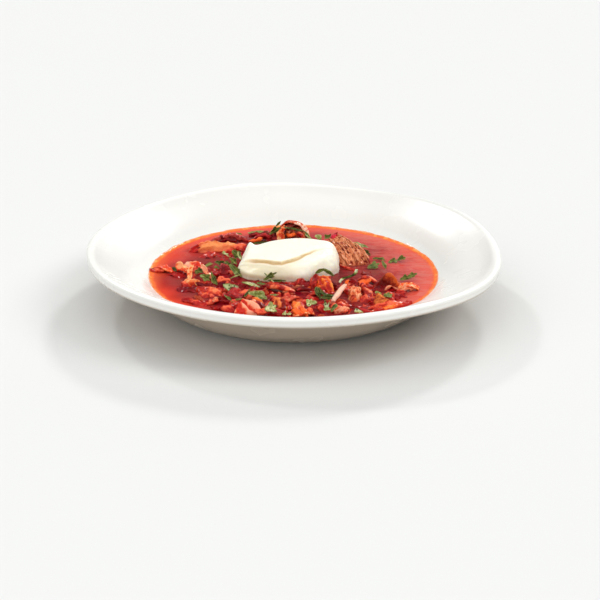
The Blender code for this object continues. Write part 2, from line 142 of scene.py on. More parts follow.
class Amount:
    """A number that varies over a surface. Sums written with it add the Math nodes that work them out."""

    def __init__(self, paint, socket):
        self.paint, self.socket = paint, socket

    def __add__(self, other):
        return self.paint.math("ADD", self, other)

    def __sub__(self, other):
        return self.paint.math("SUBTRACT", self, other)

    def __rsub__(self, other):
        return self.paint.math("SUBTRACT", other, self)

    def __mul__(self, other):
        return self.paint.math("MULTIPLY", self, other)

    def __truediv__(self, other):
        return self.paint.math("DIVIDE", self, other)

    def eased(self, low, high, first=0.0, last=1.0):
        """The amount carried from low..high to first..last with soft ends."""
        return self.paint.node(
            "ShaderNodeMapRange", {"interpolation_type": "SMOOTHSTEP"},
            {"Value": self, "From Min": low, "From Max": high, "To Min": first, "To Max": last},
        )


class Paint:
    """One material's nodes. Patterns lie in metres, so a scale is so many ripples or cells to the metre."""

    def __init__(self, name):
        self.material = bpy.data.materials.new(name)
        self.material.use_nodes = True
        self.tree = self.material.node_tree
        self.tree.nodes.clear()

    def node(self, kind, settings=None, inputs=None, out=0):
        """Adds a node: its settings first, then the values or links of its sockets. Returns one output."""
        made = self.tree.nodes.new(kind)
        for key, value in (settings or {}).items():
            if key == "stops":
                self._set_stops(made.color_ramp, value)
            else:
                setattr(made, key, value)
        for key, value in (inputs or {}).items():
            if isinstance(value, Amount):
                self.tree.links.new(value.socket, made.inputs[key])
            else:
                made.inputs[key].default_value = value
        return Amount(self, made.outputs[out]) if len(made.outputs) else None

    @staticmethod
    def _set_stops(ramp, stops):
        while len(ramp.elements) < len(stops):
            ramp.elements.new(1.0)
        for element, (place, colour) in zip(ramp.elements, stops):
            element.position = place
            element.color = (*colour, 1.0)

    def math(self, operation, *inputs):
        return self.node("ShaderNodeMath", {"operation": operation}, dict(enumerate(inputs)))

    def place(self):
        """Where the surface is, in metres."""
        return self.node("ShaderNodeTexCoord", out="Object")

    def part_of(self, vector, axis):
        return self.node("ShaderNodeSeparateXYZ", {}, {0: vector}, out=axis)

    def radius(self, where):
        """Millimetres from the plate's axis."""
        flat = self.node("ShaderNodeVectorMath", {"operation": "MULTIPLY"}, {0: where, 1: (1.0, 1.0, 0.0)})
        return self.node("ShaderNodeVectorMath", {"operation": "LENGTH"}, {0: flat}, out="Value") / MM

    def grain(self):
        """The piece's own map, in millimetres along and across its grain."""
        return self.node("ShaderNodeUVMap", {"uv_map": "grain"})

    def stretched(self, where, scale, turn=0.0):
        """A place scaled by so much each way and turned about Z."""
        return self.node("ShaderNodeMapping", {}, {"Vector": where, "Rotation": (0, 0, turn), "Scale": scale})

    def stored(self, name):
        """A number that the shape's points carry."""
        return self.node("ShaderNodeAttribute", {"attribute_name": name}, out="Fac")

    def cloud(self, where, scale, detail=3.0, roughness=0.55, distortion=0.0):
        sizes = {"Vector": where, "Scale": scale, "Detail": detail, "Roughness": roughness, "Distortion": distortion}
        return self.node("ShaderNodeTexNoise", {}, sizes)

    def cells(self, where, scale):
        """How far the nearest of many scattered points is, in its own measure."""
        return self.node("ShaderNodeTexVoronoi", {}, {"Vector": where, "Scale": scale})

    def mix(self, first, second, share):
        """A colour between two."""
        inputs = {0: share}
        for key, value in ((6, first), (7, second)):
            inputs[key] = value if isinstance(value, Amount) else (*value, 1.0)
        return self.node("ShaderNodeMix", {"data_type": "RGBA"}, inputs, out=2)

    def ramp(self, amount, *stops):
        return self.node("ShaderNodeValToRGB", {"stops": stops}, {0: amount})

    def bump(self, height, depth, strength=1.0):
        """A bump of so many millimetres."""
        return self.node("ShaderNodeBump", {}, {"Strength": strength, "Distance": depth * MM, "Height": height})

    def finish(self, colour, roughness, normal=None, **numbers):
        """Ends the material in one shader. Whatever is the same all over goes in numbers, by socket name."""
        inputs = {"Base Color": colour, "Roughness": roughness}
        if normal is not None:
            inputs["Normal"] = normal
        inputs.update({key.replace("_", " "): value for key, value in numbers.items()})
        shader = self.node("ShaderNodeBsdfPrincipled", {}, inputs)
        self.node("ShaderNodeOutputMaterial", {}, {"Surface": shader})
        return self.material


def glaze(settings):
    """Warm white glaze: faint pooling, a few pinholes and a fine orange-peel surface, with painted light low on the
    well's wall, a painted highlight on the lip and painted shade on the underside.
    """
    paint = Paint("porcelain_glaze")
    here = paint.place()
    pooling = paint.cloud(here, 14.0, 2.0)
    specks = paint.cells(here, 150.0).eased(0.01, 0.03)
    colour = paint.mix(shaded(settings.glaze, 0.975), settings.glaze, pooling.eased(0.3, 0.7))
    colour = paint.mix(shaded(settings.glaze, 0.8), colour, specks.eased(0.0, 1.0, 0.75, 1.0))
    height = paint.part_of(here, "Z") / MM
    # Painted light: the wall low in the well is painted brighter and greener, against its shade and the pink light the
    # broth throws on it.
    colour = paint.mix(settings.painted_wall_light, colour, height.eased(BROTH_LEVEL - 2.0, 27.0, 0.1, 1.0))
    # Painted highlight: the top of the lip is painted brighter.
    colour = paint.mix(colour, settings.lip, paint.radius(here).eased(*LIP_RADII) * height.eased(*LIP_HEIGHTS))
    # Painted shade: the skin that faces down below the rim is painted darker and warmer.
    colour = paint.mix(colour, settings.under, paint.stored("under"))
    peel = paint.cloud(here, 420.0, 2.0) * 0.15 + paint.cloud(here, 40.0, 1.0)
    roughness = paint.cloud(here, 40.0, 2.0).eased(0.3, 0.7, settings.gloss, settings.gloss + 0.04)
    return paint.finish(colour, roughness, paint.bump(peel, 0.03, 0.3), IOR=1.45)


def broth_surface(settings):
    """Deep crimson broth: redder towards the wall, orange where it thins, with beads of fat, fine ripples, a painted
    pink sheen, and yellow flecks on its edge that are partly painted highlights.
    """
    paint = Paint("beetroot_broth")
    here = paint.place()
    radius, aside = paint.radius(here), paint.part_of(here, "X") / MM
    stew, near_stew = paint.stored("stew"), paint.stored("near_stew")
    drawn = paint.stretched(here, (1.0, 2.8, 1.0), 0.12)
    drift = paint.cloud(here, 26.0, 3.0, 0.6, 0.8)
    streaks = paint.cloud(drawn, 85.0, 5.0, 0.68, 0.8)
    cloudy = paint.cloud(here, 210.0, 4.0, 0.65)
    colour = paint.ramp(
        drift * 0.75 + streaks * 0.25, (0.34, settings.deep), (0.5, settings.body), (0.66, settings.bright),
    )
    waver = (paint.cloud(here, 60.0, 3.0) - 0.5) * 14.0
    colour = paint.mix(colour, settings.warm, (radius + waver).eased(78.0, 97.0))
    # Darker beside the heap, least of all at the right, and darkest between the shreds.
    beside = near_stew * drift.eased(0.3, 0.6, 0.25, 0.9) * aside.eased(55.0, 75.0, 1.0, 0.5)
    colour = paint.mix(colour, settings.deep, beside)
    colour = paint.mix(colour, settings.stewed, stew * cloudy.eased(0.35, 0.62, 0.1, 0.85))
    # A pale pink sheen is painted on as a painted reflection: over the right, in patches on the left, and along the far
    # left wall, where the broth is also painted the rim's orange.
    left_wall = aside.eased(-98.0, -86.0, 0.3, 0.0)
    pools = drift.eased(0.4, 0.58) * aside.eased(-40.0, -30.0, 0.35, 0.0)
    painted_sheen = aside.eased(0.0, 62.0) * streaks.eased(0.38, 0.62, 0.35, 1.1) * (1.0 - near_stew * 0.5)
    sheen_share = painted_sheen + pools * (1.0 - radius.eased(84.0, 94.0)) + left_wall
    colour = paint.mix(colour, settings.painted_sheen, sheen_share * 0.5)
    colour = paint.mix(colour, settings.rim, left_wall)
    # Beads of orange fat, thicker towards the wall, and the edge that thins up it.
    wall = radius - (SHORE_RADIUS - settings.rim_width / MM) + (paint.cloud(here, 150.0, 3.0, 0.6) - 0.5) * 3.4
    beads = 1.0 - paint.cells(here, 330.0).eased(0.16, 0.24)
    beads = beads * paint.cloud(here, 45.0, 2.0).eased(0.5, 0.68)
    # Yellow flecks along the bright edge: partly fat, partly painted highlights.
    fat_flecks_and_glints = paint.cloud(here, 260.0, 2.0).eased(0.52, 0.64) * wall.eased(0.2, 2.2)
    colour = paint.mix(colour, settings.oil, beads * 0.4)
    colour = paint.mix(colour, settings.rim, wall.eased(-1.5, 1.7))
    colour = paint.mix(colour, settings.fat_flecks_and_glints, fat_flecks_and_glints * 0.7)
    colour = paint.mix(colour, settings.thin, wall.eased(2.0, 3.8) * 0.6)
    ripple = paint.cloud(here, 95.0, 2.0) + paint.cloud(drawn, 210.0, 3.0) * 0.4 + beads * 0.5
    roughness = cloudy.eased(0.3, 0.7, 0.05, 0.14)
    return paint.finish(colour, roughness, paint.bump(ripple, 0.3, 0.6), IOR=1.22, Specular_IOR_Level=0.3)


def cream_finish(settings):
    """Thick sour cream, with painted shade on its left side, in its crease and low down, blushing where the broth has
    wicked up its foot.
    """
    paint = Paint("sour_cream")
    here = paint.place()
    height = paint.part_of(here, "Z") / MM
    wicked = height + (paint.cloud(here, 160.0, 3.0) - 0.5) * 2.6
    # Painted shade: the left side under the sheet, away from the light, is painted a darker yellow.
    colour = paint.mix(settings.cream, settings.painted_side_shade, paint.stored("belly") * 0.85)
    # Painted shadow: a tan line where the swept sheet overhangs the belly.
    colour = paint.mix(colour, settings.shade, paint.stored("fold"))
    # Faint painted shade low on its sides.
    colour = paint.mix(colour, settings.shade, (1.0 - wicked.eased(18.2, 22.0)) * 0.03)
    colour = paint.mix(colour, settings.stain, (1.0 - wicked.eased(17.0, 18.6)) * 0.35)
    flecks = 1.0 - paint.cells(here, 420.0).eased(0.06, 0.12)
    low = 1.0 - height.eased(20.0, 25.0)
    colour = paint.mix(colour, FLECK_YELLOW, flecks * low * 0.35)
    texture = paint.cloud(here, 130.0, 3.0) + paint.cloud(here, 700.0, 2.0) * 0.12
    return paint.finish(
        colour, paint.cloud(here, 200.0, 2.0).eased(0.3, 0.7, 0.28, 0.42), paint.bump(texture, 0.16, 0.5),
        IOR=1.42, Subsurface_Weight=0.6, Subsurface_Radius=(1.0, 0.85, 0.6), Subsurface_Scale=0.008,
    )


def food(name, light, mid, dark, mottle=230.0, streak=0.0, fineness=(0.1, 1.1), stain=0.6, stain_top=20.5,
         gloss=0.16, grit=0.16, grit_scale=900.0, coat=0.38, glow=0.1, broth=BROTH_DYE):
    """A cooked piece, wet with broth: mottled in three colours, streaked along its grain, stained where it sinks, with
    painted light on its bumps and painted shade in its hollows.

    Mottling and grit grow finer with their scales, and the stain fades out at stain_top, in millimetres.
    """
    paint = Paint(name)
    here = paint.place()
    patches = paint.cloud(here, mottle, 4.0, 0.6, 0.3)
    level = patches
    relief = paint.cloud(here, grit_scale, 3.0, 0.6) * 0.6 + patches
    if streak:
        fibres = paint.cloud(paint.stretched(paint.grain(), (*fineness, 1.0)), 1.0, 4.0, 0.6, 0.4)
        level = patches * (1.0 - streak) + fibres * streak
        relief = relief * 0.5 + fibres * (1.0 + streak)
    # Painted light and shade: where the skin was pushed out it is painted paler, where pushed in darker, and the
    # hollows take broth as well as painted shade.
    pushed = paint.stored("relief")
    level = level + (paint.stored("tone") - 0.5) * 0.42 + pushed * 0.4
    colour = paint.ramp(level, (0.37, dark), (0.5, mid), (0.63, light))
    height = paint.part_of(here, "Z") / MM + (paint.cloud(here, 380.0, 2.0) - 0.5) * 3.0
    wet = 1.0 - height.eased(BROTH_LEVEL - 0.4, stain_top)
    broth_and_shade_in_hollows = (0.0 - pushed).eased(0.08, 0.45) * 0.6
    colour = paint.mix(colour, broth, (wet + broth_and_shade_in_hollows) * stain)
    roughness = paint.cloud(here, 520.0, 3.0).eased(0.3, 0.72, gloss, gloss + 0.22)
    return paint.finish(
        colour, roughness, paint.bump(relief, grit), IOR=1.36, Specular_IOR_Level=0.1,
        Coat_Weight=coat, Coat_Roughness=0.05, Coat_IOR=1.36,
        Subsurface_Weight=glow, Subsurface_Radius=(1.0, 0.35, 0.2), Subsurface_Scale=0.002,
    )


def leaf_green(settings):
    """Parsley: from dark green to faded yellow by each scrap's own shade, paler along its veins and its edge."""
    paint = Paint("parsley_leaf")
    here = paint.place()
    shade, edge = paint.stored("tone"), paint.stored("edge")
    grain = paint.grain()
    side = paint.math("ABSOLUTE", paint.part_of(grain, "Y"))
    barbs = paint.math("SINE", (paint.part_of(grain, "X") - side * 0.8) * 16.0)
    lines = paint.math("MAXIMUM", 1.0 - side.eased(0.02, 0.16), barbs.eased(0.6, 1.0) * 0.5)
    mottled = paint.cloud(here, 340.0, 4.0, 0.65)
    colour = paint.ramp(
        shade + (mottled - 0.5) * 1.7 - 0.05,
        (0.05, settings.dark_leaf), (0.4, settings.leaf), (0.7, settings.pale_leaf), (0.9, settings.yellow_leaf),
        (1.0, settings.stalk),
    )
    bloom = paint.cloud(here, 70.0, 1.0).eased(0.42, 0.62) * shade.eased(0.1, 0.5)
    colour = paint.mix(colour, settings.blue_leaf, bloom * 0.32)
    spots = 1.0 - paint.cells(here, 480.0).eased(0.26, 0.36)
    faded = shade.eased(0.8, 0.88)
    colour = paint.mix(colour, settings.leaf, edge.eased(0.72, 0.98) * faded * 0.8)
    colour = paint.mix(colour, settings.pale_leaf, edge.eased(0.86, 1.0) * (1.0 - faded) * 0.35)
    colour = paint.mix(colour, settings.dark_leaf, spots * faded * 0.9)
    colour = paint.mix(colour, settings.pale_leaf, lines * 0.4)
    relief = mottled * 1.5 - lines * 0.8
    return paint.finish(
        colour, mottled.eased(0.3, 0.7, 0.22, 0.45), paint.bump(relief, 0.25, 0.8), IOR=1.35, Specular_IOR_Level=0.15,
        Subsurface_Weight=0.12, Subsurface_Radius=(0.5, 0.8, 0.2), Subsurface_Scale=0.001,
    )


def studio_floor(settings):
    """Plain pale paper, with a grain too fine to show as more than a bloom."""
    paint = Paint("studio_floor")
    grain = paint.cloud(paint.place(), 900.0, 2.0)
    colour = paint.mix(shaded(settings.floor, 0.995), settings.floor, grain)
    return paint.finish(colour, grain.eased(0.0, 1.0, 0.85, 0.95), IOR=1.2, Specular_IOR_Level=0.1)


# ---------------------------------------------------------------- shapes

def smooth_step(low, high, value):
    """The share of the way from low to high, from 0 to 1 with soft ends."""
    share = min(1.0, max(0.0, (value - low) / (high - low)))
    return share * share * (3.0 - 2.0 * share)


def waves(table, angle):
    """The sum of a table's waves at an angle."""
    return sum(size * math.cos(count * (angle - math.radians(crest))) for count, size, crest in table)


def rim_lift(angle):
    """How far the hand-thrown rim rises above its section at an angle."""
    middle, depth, spread = RIM_SAG
    away = math.degrees(math.remainder(angle - math.radians(middle), 2 * math.pi)) / spread
    return waves(LIFT_WAVES, angle) - depth * math.exp(-away ** 2)


def around(table, angle, soft=False):
    """What a table of (angle in degrees, value) comes to at an angle, straight or soft between its rows."""
    first = table[0][0]
    turns = list(table) + [(first + 360, table[0][1])]
    angle = (angle - first) % 360 + first
    for (low, near), (high, far) in zip(turns, turns[1:]):
        if low <= angle <= high:
            share = smooth_step(low, high, angle) if soft else (angle - low) / (high - low)
            return near + (far - near) * share
    return table[0][1]


def heap_reach(place):
    """Millimetres from the middle to the edge of the stewed shreds, in the direction of a place."""
    return around(HEAP_SPREAD, math.degrees(math.atan2(place.y, place.x)), soft=True)


def eased_section(section, cuts=4):
    """A smooth line through every point of a section."""
    points = [Vector((radius, 0.0, height)) for radius, height in section]
    slopes = []
    for index, point in enumerate(points):
        before = point - points[max(index - 1, 0)]
        after = points[min(index + 1, len(points) - 1)] - point
        slopes.append((before.normalized() + after.normalized()).normalized())
    line = [points[0]]
    for index in range(len(points) - 1):
        near, far = points[index], points[index + 1]
        reach = (far - near).length / 3.0
        leave, arrive = near + slopes[index] * reach, far - slopes[index + 1] * reach
        line += interpolate_bezier(near, leave, arrive, far, cuts + 1)[1:]
    return [(max(0.0, point.x), max(0.0, point.z)) for point in line]


def turned(section, steps):
    """A bmesh in millimetres: the section spun about Z, closed where it meets the axis."""
    bm = bmesh.new()
    ring = [bm.verts.new((radius, 0.0, height)) for radius, height in section]
    edges = [bm.edges.new(pair) for pair in zip(ring, ring[1:])]
    bmesh.ops.spin(
        bm, geom=ring + edges, cent=(0, 0, 0), axis=(0, 0, 1), angle=2 * math.pi, steps=steps,
        use_merge=True, use_duplicate=False,
    )
    bmesh.ops.remove_doubles(bm, verts=bm.verts, dist=0.001)
    return bm


def unit_block(along, across, deep):
    """A cube from 0 to 1 each way, cut into so many faces along, across and deep."""
    bm = bmesh.new()
    bmesh.ops.create_cube(bm, size=1.0)
    bmesh.ops.translate(bm, vec=(0.5, 0.5, 0.5), verts=bm.verts)
    for axis, cuts in enumerate((along, across, deep)):
        if cuts < 2:
            continue
        edges = [e for e in bm.edges if abs(e.verts[0].co[axis] - e.verts[1].co[axis]) > 0.5]
        bmesh.ops.subdivide_edges(bm, edges=edges, cuts=cuts - 1, use_grid_fill=True)
    return bm


def map_grain(bm, grain_at):
    """Stores millimetres along and across the grain by place, as the map that fibres and veins follow."""
    layer = bm.loops.layers.uv.verify()
    for face in bm.faces:
        for loop in face.loops:
            loop[layer].uv = grain_at(loop.vert.co)


def map_block(bm, length, width, shift=0.0):
    """The grain of a unit block: its own X and Y, with the ends and sides a little aslant."""
    map_grain(bm, lambda at: (at.x * length + shift, (at.y + 0.35 * at.z) * width))


def unit_sheet(along, across, length, width):
    """A square from -0.5 to 0.5 each way, cut into faces, with its grain along X."""
    bm = bmesh.new()
    bmesh.ops.create_grid(bm, x_segments=along, y_segments=across, size=0.5)
    map_grain(bm, lambda at: ((at.x + 0.5) * length, at.y * width))
    return bm


def thicken(bm, thickness):
    """Gives a sheet its thickness."""
    bmesh.ops.recalc_face_normals(bm, faces=bm.faces)
    bmesh.ops.solidify(bm, geom=bm.faces[:], thickness=thickness)


def soften(bm, times):
    """Smooths the whole skin so many times."""
    for _ in range(times):
        bmesh.ops.smooth_vert(bm, verts=bm.verts, factor=0.5, use_axis_x=True, use_axis_y=True, use_axis_z=True)


def layer_of(bm, name):
    """The numbers of one name that the points carry."""
    return bm.verts.layers.float.get(name) or bm.verts.layers.float.new(name)


def roughen(bm, layers, seed, keep=None):
    """Pushes the skin in and out, and stores how far as its relief, which the food's finish paints as light and shade:
    layers are (ripples per millimetre, millimetres).

    keep(place) is the share of the push that a place takes.
    """
    bm.normal_update()
    relief = layer_of(bm, "relief")
    shift = Vector((seed * 7.3, seed * 3.1, seed * 1.7))
    full = sum(height for _, height in layers)
    for vert in bm.verts:
        push = sum(height * noise.noise(vert.co * scale + shift) for scale, height in layers)
        vert[relief] += push / full
        vert.co += vert.normal * push * (keep(vert.co) if keep else 1.0)


def through(points, share):
    """A point on the smooth curve through the points, and the way it heads."""
    points = [2 * points[0] - points[1], *points, 2 * points[-1] - points[-2]]
    spans = len(points) - 3
    index = min(int(share * spans), spans - 1)
    t = share * spans - index
    a, b, c, d = points[index:index + 4]
    straight, bent, twisted = c - a, 2 * a - 5 * b + 4 * c - d, 3 * b - a - 3 * c + d
    place = b + 0.5 * (straight * t + bent * t ** 2 + twisted * t ** 3)
    return place, (straight + 2 * bent * t + 3 * twisted * t ** 2).normalized()


def bezier(points, share):
    """A point on the curve that the control points pull, and the way it heads; past four, it meets each one."""
    points = [Vector(point) for point in points]
    if len(points) > 4:
        return through(points, share)
    while len(points) > 2:
        points = [a.lerp(b, share) for a, b in zip(points, points[1:])]
    return points[0].lerp(points[1], share), (points[1] - points[0]).normalized()


def seed_of(name):
    """A number that a piece's name alone settles, so that each keeps its own grain."""
    return sum(map(ord, name)) % 97 + len(name) * 0.37


def route_length(route):
    """Millimetres from end to end of a route, straight between its points."""
    return sum((Vector(a) - Vector(b)).length for a, b in zip(route, route[1:]))


def on_route(route, share):
    """A point of the route, the way to its side and the way up from it."""
    middle, heading = bezier(route, share)
    side = heading.cross(UP).normalized()
    return middle, side, side.cross(heading)


def between(corners, u, v):
    """A point between near-left, far-left, near-right and far-right corners: u of the way right, v of it away."""
    near_left, far_left, near_right, far_right = corners
    return near_left.lerp(far_left, v).lerp(near_right.lerp(far_right, v), u)


def bowed(bow, u, v):
    """How far a bow moves that point: most in the middle of the far side."""
    return Vector(bow) * v * 4 * u * (1 - u)


def cut_piece(name, corners, bottom, crown=0.8, rounding=5, cell=0.65, folds=None,
              lumps=((0.16, 0.8), (0.4, 0.55), (1.1, 0.22))):
    """A knife-cut piece whose top is a patch between four corners, softened by cooking.

    The corners are the near-left, far-left, near-right and far-right ends of the grain. folds(u, v) lifts the top
    by so many millimetres.
    """
    corners = [Vector(corner) for corner in corners]
    near_left, far_left, near_right, far_right = corners
    length = ((near_right - near_left).length + (far_right - far_left).length) / 2
    width = ((far_left - near_left).length + (far_right - near_right).length) / 2
    middle = (near_left + far_left + near_right + far_right) / 4
    bottom = max(bottom, BROTH_LEVEL - SUNK_DEPTH)
    bm = unit_block(*(max(3, round(size / cell)) for size in (length, width, middle.z - bottom)))
    map_block(bm, length, width, seed_of(name) * 3.0)
    shift = Vector((seed_of(name), 0.0, 0.0))
    relief = layer_of(bm, "relief")
    for vert in bm.verts:
        u, v, w = vert.co
        place = middle.lerp(between(corners, u, v), 1.0 - 0.12 * abs(w - 0.5) * 2)
        edge = min(u, 1 - u, v, 1 - v)
        rise = crown * (smooth_step(0.0, 0.45, edge) - 0.5)
        if folds:
            rise += folds(u, v) * smooth_step(0.0, 0.12, edge)
            # The folds are stored as relief, which the finish paints as light on their ridges and shade in their
            # furrows.
            vert[relief] = 0.3 * folds(u, v) * w
        height = place.z + rise * w
        place.z = bottom + (height - bottom) * w
        vert.co = place + 0.5 * noise.noise_vector(place * 0.19 + shift) * (0.4 + w)
    soften(bm, rounding)
    roughen(bm, lumps, seed_of(name))
    return bm


def strip_piece(name, route, width, thickness, lean=0.0, along=28, around=5, taper=0.35, wander=0.45,
                lumps=((0.3, 0.3), (0.9, 0.14)), folds=None):
    """A bent strip with a rounded oblong section, leaning about its own run by so many degrees."""
    bm = unit_block(along, around, max(3, round(around * thickness / width) + 1))
    map_block(bm, route_length(route), width, seed_of(name) * 3.0)
    shift = Vector((0.0, seed_of(name), 0.0))
    turn = math.radians(lean)
    for vert in bm.verts:
        u, v, w = vert.co
        middle, side, rise = on_route(route, u)
        flat, up = side * math.cos(turn) + rise * math.sin(turn), rise * math.cos(turn) - side * math.sin(turn)
        full = 1.0 - taper * abs(2 * u - 1) ** 2.5
        p, q = 2 * v - 1, 2 * w - 1
        round_off = 1.0 / max(1.0, (abs(p) ** 3 + abs(q) ** 3) ** (1 / 3))
        offset = flat * p * 0.5 * width * full * round_off + up * q * 0.5 * thickness * full * round_off
        if folds:
            offset += up * folds(u, v) * w
        vert.co = middle + offset + wander * noise.noise_vector(middle * 0.3 + shift)
    soften(bm, 1)
    roughen(bm, lumps, seed_of(name))
    return bm


def leaf_piece(name, route, width, curl, thickness, along, across, ruffle, fray=0.35):
    """A curled piece of cooked leaf: a ragged strip whose sides roll up by so many degrees."""
    bm = unit_sheet(along, across, route_length(route), width)
    shift = Vector((seed_of(name), 0.0, 0.0))
    for vert in bm.verts:
        u, v = vert.co.x + 0.5, vert.co.y
        middle, side, rise = on_route(route, u)
        ragged = 1.0 + fray * noise.noise(Vector((u * 5.0, math.copysign(1.0, v), 0.0)) + shift)
        full = width * (1.0 - 0.45 * abs(2 * u - 1) ** 3) * ragged
        roll = math.radians(curl) * v
        radius = full / max(0.2, math.radians(abs(curl)))
        place = middle + side * radius * math.sin(roll) + rise * radius * (1 - math.cos(roll))
        place += ruffle * noise.noise_vector(place * 0.16 + shift)
        place += rise * 0.35 * ruffle * abs(2 * v) * math.sin(u * 17.0 + shift.x + 4.0 * v)
        vert.co = place
    thicken(bm, thickness)
    soften(bm, 2)
    roughen(bm, ((0.5, 0.16), (1.3, 0.08)), seed_of(name))
    return bm


def set_tone(bm, tone, name="tone"):
    """Stores one number, or what a function makes of each point's place."""
    layer = layer_of(bm, name)
    for vert in bm.verts:
        vert[layer] = tone if isinstance(tone, (int, float)) else tone(vert.co)


def sliding(start, change, low, high):
    """A tone that changes by so much on the way from one X to another."""
    return lambda place: start + change * smooth_step(low, high, place.x)


def mesh_of(bm, name):
    """Ends a bmesh as a mesh whose map is named for the grain."""
    bmesh.ops.recalc_face_normals(bm, faces=bm.faces)
    mesh = bpy.data.meshes.new(name)
    bm.to_mesh(mesh)
    bm.free()
    if mesh.uv_layers:
        mesh.uv_layers[0].name = "grain"
    return mesh


def new_object(name, data):
    """An object in the scene for a mesh, a light or a camera."""
    made = bpy.data.objects.new(name, data)
    bpy.context.scene.collection.objects.link(made)
    return made


def solid_of(bm, name):
    """Turns a bmesh in millimetres into an object in metres."""
    bmesh.ops.scale(bm, vec=(MM, MM, MM), verts=bm.verts)
    return new_object(name, mesh_of(bm, name))


def finish_piece(bm, name, material, slot, stands_for=(), sharp=50):
    """Makes a named piece that rides on the plate's body, its edges sharp from so many degrees."""
    piece = solid_of(bm, name)
    piece.data.shade_smooth()
    piece.data.set_sharp_from_angle(angle=math.radians(sharp))
    piece.data.materials.append(material)
    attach(piece, "root")
    if stands_for:
        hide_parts(*stands_for)


def lay(bm, name, tone, look, slot):
    """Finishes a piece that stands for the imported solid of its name."""
    set_tone(bm, tone)
    finish_piece(bm, name + "_piece", look, slot, [name])


class Tray:
    """Like scraps gathered into one mesh, each with its own tone."""

    def __init__(self):
        self.bm = bmesh.new()

    def add(self, bm, tone, place=None):
        set_tone(bm, tone)
        if place is not None:
            bmesh.ops.transform(bm, matrix=place, verts=bm.verts)
        mesh = mesh_of(bm, "scrap")
        self.bm.from_mesh(mesh)
        bpy.data.meshes.remove(mesh)


def scrap_place(spot, heading, tilt, roll=0.0):
    """Lays a scrap made along X: turned in its own plane, then tipped up towards the diner."""
    turns = Matrix.Rotation(math.radians(tilt), 4, "X") @ Matrix.Rotation(math.radians(heading), 4, "Z")
    return Matrix.Translation(spot) @ turns @ Matrix.Rotation(math.radians(roll), 4, "X")


def baton(rng, length, width, thickness):
    """A limp baton cut along X, about the origin."""
    bm = unit_block(9, 3, 3)
    map_block(bm, length, width, rng.uniform(0, 90))
    bend = 0.18
    sideways, upward = rng.uniform(-bend, bend), rng.uniform(-bend * 0.6, bend * 0.25)
    slant = rng.uniform(-0.5, 0.5)
    seed = rng.uniform(0, 50)
    for vert in bm.verts:
        u, p, q = (2 * part - 1 for part in vert.co)
        full = (1.0 - 0.35 * abs(u) ** 3) / max(1.0, (abs(p) ** 4 + abs(q) ** 4) ** 0.25)
        vert.co = Vector((
            u * length / 2 + slant * p * width,
            p * width / 2 * full + sideways * length * (1 - u * u),
            q * thickness / 2 * full + upward * length * (u * u - 0.3),
        ))
        vert.co += 0.3 * width * noise.noise_vector(vert.co * 0.22 + Vector((seed, 0, 0)))
    roughen(bm, ((0.4, 0.12 * width), (1.1, 0.08 * width)), seed)
    return bm


def dice(rng, length, width, thickness):
    """A small cooked die, about the origin."""
    bm = unit_block(6, 6, 4)
    map_block(bm, length, width, rng.uniform(0, 90))
    seed = rng.uniform(0, 50)
    lean = rng.uniform(-0.35, 0.35)
    for vert in bm.verts:
        p, q, r = (2 * part - 1 for part in vert.co)
        sphere = 1.0 / max(1.0, (abs(p) ** 3.4 + abs(q) ** 3.4 + abs(r) ** 3.4) ** (1 / 3.4))
        vert.co = Vector((
            (p + lean * r) * length / 2 * sphere,
            (q - lean * r) * width / 2 * sphere,
            (r + 0.3 * (1 - p * p) * (1 - q * q)) * thickness / 2 * sphere,
        ))
        vert.co += 0.45 * min(length, width) * noise.noise_vector(vert.co * 0.17 + Vector((seed, 0, 0)))
    roughen(bm, ((0.3, 0.16 * width), (0.8, 0.1 * width)), seed)
    return bm


def ribbon(rng, length, width, thickness):
    """A limp shred of leaf along X, rolled across its width and rippled along it."""
    bm = unit_sheet(12, 5, length, width)
    roll = math.radians(rng.uniform(30, 150))
    sideways, ripple, phase = rng.uniform(-0.15, 0.15), rng.uniform(0.5, 1.3), rng.uniform(0, 6.3)
    twist = rng.uniform(-0.8, 0.8)
    for vert in bm.verts:
        u, v = 2 * vert.co.x, 2 * vert.co.y
        full = width / 2 * (1.0 - 0.5 * abs(u) ** 3)
        turn = v * roll / 2
        across = Vector((0, math.sin(turn) / (roll / 2) * full, (1 - math.cos(turn)) / (roll / 2) * full))
        across.rotate(Matrix.Rotation(twist * u, 3, "X"))
        vert.co = Vector((u * length / 2, sideways * length * (1 - u * u), ripple * math.sin(u * 3.4 + phase))) + across
    thicken(bm, thickness)
    roughen(bm, ((0.25, 0.8), (0.7, 0.5)), phase * 7.0)
    return bm


SCRAP_MAKERS = {
    "beetroot": baton, "carrot": baton, "cabbage": ribbon, "beef": baton, "pepper": dice, "potato": dice,
}


# Outlines of chopped parsley: (degrees, reach), with a point at each far reach and a notch at each near one.
LEAF_OUTLINES = {
    "leaflet": (
        (0, 1.0), (34, 0.56), (60, 0.94), (98, 0.5), (140, 0.72), (180, 0.8), (215, 0.6), (258, 0.52), (298, 0.92),
        (328, 0.58),
    ),
    "blade": (
        (0, 1.0), (28, 0.72), (70, 0.9), (112, 0.74), (150, 0.92), (180, 0.95), (204, 0.5), (270, 0.3), (336, 0.52),
    ),
    "fingers": (
        (0, 1.0), (24, 0.34), (52, 0.92), (76, 0.3), (112, 0.85), (150, 0.3), (196, 0.42), (262, 0.26), (330, 0.3),
    ),
    "toothed": (
        (8, 1.0), (40, 0.5), (62, 0.86), (84, 0.56), (112, 0.88), (150, 0.46), (182, 0.5), (238, 0.62), (300, 0.36),
    ),
}
# Rings of faces in a scrap of parsley, as shares of its reach, and how many faces go round it.
LEAF_RINGS, LEAF_STEPS = (0.0, 0.35, 0.6, 0.82, 1.0), 44


